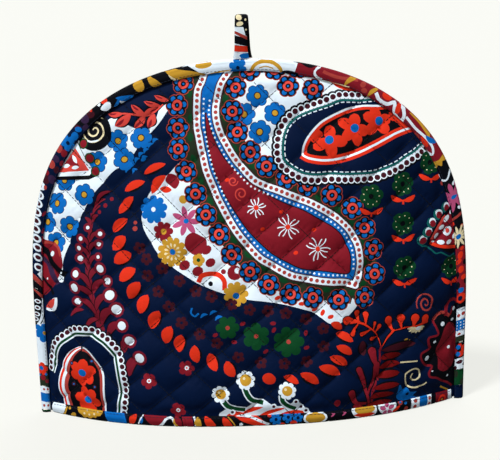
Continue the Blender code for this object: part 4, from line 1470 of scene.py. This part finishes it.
for panel, place, shift, way, seed in (
    ("front_panel", "front", 0, 1, 9), ("back_panel", "back", 14, -1, 23),
):
    hem_shapes = over_the_fold(HEM_REACH, hem_curve, shift, way)
    hem_strip = sewn_sheet(
        place + "_hem_strip", strip_outline(-HEM_END, HEM_END, HEM_REACH, STRIP_STEP), "navy", hem_shapes,
        strip_grids(-HEM_END, HEM_END, HEM_REACH),
        (hem_face(panel, 1), hem_face(panel, -1)), 1, bias_cotton,
    )
    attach(hem_strip, "root")
    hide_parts(place + "_hem_binding")
    hem_surface = hem_face(panel, 1)
    along = np.arange(-HEM_END + HEM_STITCH_START, HEM_END - HEM_STITCH_START, STRIP_STEP) * MM
    hem_runs = []
    for side in (-1, 1):
        across = np.full(len(along), side * (HEM_REACH - STITCH_INSET) * MM)
        outward = facing(hem_surface, along, across)
        hem_runs.append(hem_surface(along, across) + outward * BINDING_THREAD_LIFT)
    hem_stitches = sewn_lines(
        place + "_hem_stitches", hem_runs,
        BINDING_STITCH_PITCH, BINDING_STITCH_LENGTH, BINDING_THREAD_THICKNESS, binding_thread, seed,
    )
    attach(hem_stitches, "root")


# Hanging loop: a narrow strip of the bias cotton, folded and sewn flat, standing on the seam at the top.
# It flares a little where its two ends are tucked beside each other at the foot.
LOOP_RISE = 0.033
LOOP_WIDTH = 0.0095
LOOP_CLOTH = 0.0026
LOOP_FLARE = 0.0035
LOOP_FLARE_HEIGHT = 0.004
LOOP_FOOT = 0.0017
LOOP_BELLY = 0.0062
LOOP_SHIFT = 0.0024
LOOP_SHOULDER = 0.8
LOOP_CROWN = 0.4
LOOP_LENGTH = 68.0
LOOP_STEP = 1.2


def loop_face(side):
    """The loop's outer or inner face; u runs up its front and down its back, v towards -X."""
    shares = np.linspace(0, 1, 400)

    def line(share):
        turn = math.pi * np.clip(share, 0, 1)
        rise = np.maximum(np.sin(turn), 0) ** LOOP_SHOULDER
        belly = LOOP_FOOT + (LOOP_BELLY - LOOP_FOOT) * np.sin(math.pi / 2 * rise)
        y = np.sign(share - 0.5) * belly * np.abs(np.cos(turn)) ** LOOP_CROWN
        return y, HEIGHT + 2 * GAP + (LOOP_RISE - LOOP_CLOTH / 2) * rise

    y_line, z_line = line(shares)
    run = np.concatenate([[0], np.cumsum(np.hypot(np.diff(y_line), np.diff(z_line)))])

    def middle(s, w):
        share = np.interp(s / (LOOP_LENGTH * MM) * run[-1], run, shares)
        y, z = line(share)
        flare = LOOP_FLARE * np.exp(-(z - HEIGHT) / LOOP_FLARE_HEIGHT)
        x = LOOP_SHIFT * (share - 0.5) - w / (LOOP_WIDTH / 2) * (LOOP_WIDTH + flare) / 2
        return np.stack([x, y, z], -1)

    def face(s, w):
        edge = 1 - 0.75 * np.clip(np.abs(w) / (LOOP_WIDTH / 2), 0, 1) ** 6
        return middle(s, w) + (side * edge)[..., None] * facing(middle, s, w, 0.0006) * LOOP_CLOTH / 2

    return face


shapes.clear()
half_loop = LOOP_WIDTH / 2 / MM
for low, high, ink, slant in (
    (-8, 5, "white", 0.5), (5, 9.5, "orange", -0.6), (9.5, 10.2, "white", -0.6),
    (10.2, 16, "black", -1.6), (16, 18.4, "rust", -3), (18.4, 23, "white", -2.4), (23, 42, "black", -0.5),
    (42, 50, "plum", 2), (50, 57, "navy", 2), (57, 62, "white", 2), (62, 80, "orange", 2),
):
    paint(ink, [(low + slant, -6), (high + slant, -6), (high - slant, 6), (low - slant, 6)])
blot("blue", [(-1, -6), (3, -6), (4, -2), (2.5, 1), (0.5, 0), (-2, -1)])
paint("black", [(15, -6), (34, -6), (34, -1), (24, -1.6), (17, -3.6)])
marks("cream", 10, (29.6, 1.8, 2.6, 0.7, 60), (25.2, 0.8, 2.7, 0.6, 100), (28, -3.4, 0.8), (21, -4, 0.7))
loop_grids = [
    strip_grid(0, LOOP_LENGTH, half_loop, step, count)
    for step, count in ((LOOP_STEP, 9), (2 * LOOP_STEP, 5))
]
loop_strip = sewn_sheet(
    "loop_strip", strip_outline(0, LOOP_LENGTH, half_loop, LOOP_STEP), "white", list(shapes), loop_grids,
    (loop_face(1), loop_face(-1)), 1, bias_cotton, "black",
)
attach(loop_strip, "root")
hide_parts("hanging_loop")


# Floor, light and camera: a plain near-white surface under soft, even light, seen from a little above.
CAMERA_TARGET = Vector((0, 0, 0.14))
CAMERA_DISTANCE = 0.9
CAMERA_AZIMUTH = math.radians(1.3)
CAMERA_ELEVATION = math.radians(12.5)
CAMERA_ROLL = math.radians(1.7)
FRAME_WIDTH_PX = 500
FOCAL_PX = 1135
CENTRE_SHIFT_PX = (2, 7)
FLOOR_REACH = 200
KEY_STRENGTH = 3.4
FILL_STRENGTH = 0.9
BACK_STRENGTH = 1.6
SKY_STRENGTH = 0.2
SKY_SEEN = 0.93
FLOOR_GLOW = 0.78

corners = ((-1, -1), (1, -1), (1, 1), (-1, 1))
mesh = bpy.data.meshes.new("floor")
mesh.from_pydata([(x * FLOOR_REACH, y * FLOOR_REACH, 0) for x, y in corners], [], [(0, 1, 2, 3)])
# Matt paper that glows to the camera alone, so that it reads as near-white and still takes a soft shadow
paper = bpy.data.materials.new("white paper")
paper.use_nodes = True
tree = paper.node_tree
shader = tree.nodes["Principled BSDF"]
shader.inputs["Base Color"].default_value = (*linear_colour("#6a6a68"), 1)
shader.inputs["Emission Color"].default_value = (*linear_colour("#f9faf4"), 1)
seen = add_node(tree, "ShaderNodeLightPath").outputs["Is Camera Ray"]
glow = add_node(tree, "ShaderNodeMath", {"operation": "MULTIPLY"})
glow.inputs[1].default_value = FLOOR_GLOW
tree.links.new(seen, glow.inputs[0])
tree.links.new(glow.outputs["Value"], shader.inputs["Emission Strength"])
shader.inputs["Roughness"].default_value = 0.9
shader.inputs["Specular IOR Level"].default_value = 0
mesh.materials.append(paper)
floor = bpy.data.objects.new("floor", mesh)
bpy.context.scene.collection.objects.link(floor)

# Each light's strength, how wide it looks in degrees, and its turn in degrees
for name, strength, size, turn in (
    ("key", KEY_STRENGTH, 10, (34, 0, -40)),
    ("fill", FILL_STRENGTH, 60, (66, 0, -10)),
    ("back", BACK_STRENGTH, 60, (50, 0, 160)),
):
    light = bpy.data.lights.new(name, "SUN")
    light.energy = strength
    light.angle = math.radians(size)
    lamp = bpy.data.objects.new(name, light)
    lamp.rotation_euler = [math.radians(k) for k in turn]
    bpy.context.scene.collection.objects.link(lamp)

world = bpy.data.worlds.new("soft daylight")
world.use_nodes = True
world.node_tree.nodes["Background"].inputs["Color"].default_value = (*linear_colour("#fbfcfc"), 1)
sky_seen = add_node(world.node_tree, "ShaderNodeLightPath").outputs["Is Camera Ray"]
sky = add_node(
    world.node_tree, "ShaderNodeMapRange", Value=sky_seen, To_Min=SKY_STRENGTH, To_Max=SKY_SEEN,
).outputs["Result"]
world.node_tree.links.new(sky, world.node_tree.nodes["Background"].inputs["Strength"])
bpy.context.scene.world = world
bpy.context.scene.view_settings.view_transform = "Standard"

back = Vector((
    math.sin(CAMERA_AZIMUTH) * math.cos(CAMERA_ELEVATION),
    -math.cos(CAMERA_AZIMUTH) * math.cos(CAMERA_ELEVATION),
    math.sin(CAMERA_ELEVATION),
))
lens = bpy.data.cameras.new("camera")
lens.sensor_width = 36
lens.lens = FOCAL_PX / FRAME_WIDTH_PX * lens.sensor_width
lens.shift_x = CENTRE_SHIFT_PX[0] / FRAME_WIDTH_PX
lens.shift_y = CENTRE_SHIFT_PX[1] / FRAME_WIDTH_PX
camera = bpy.data.objects.new("camera", lens)
camera.location = CAMERA_TARGET + back * CAMERA_DISTANCE
camera.rotation_euler = back.to_track_quat("Z", "Y").to_euler()
camera.rotation_euler.rotate_axis("Z", -CAMERA_ROLL)
bpy.context.scene.collection.objects.link(camera)
bpy.context.scene.camera = camera
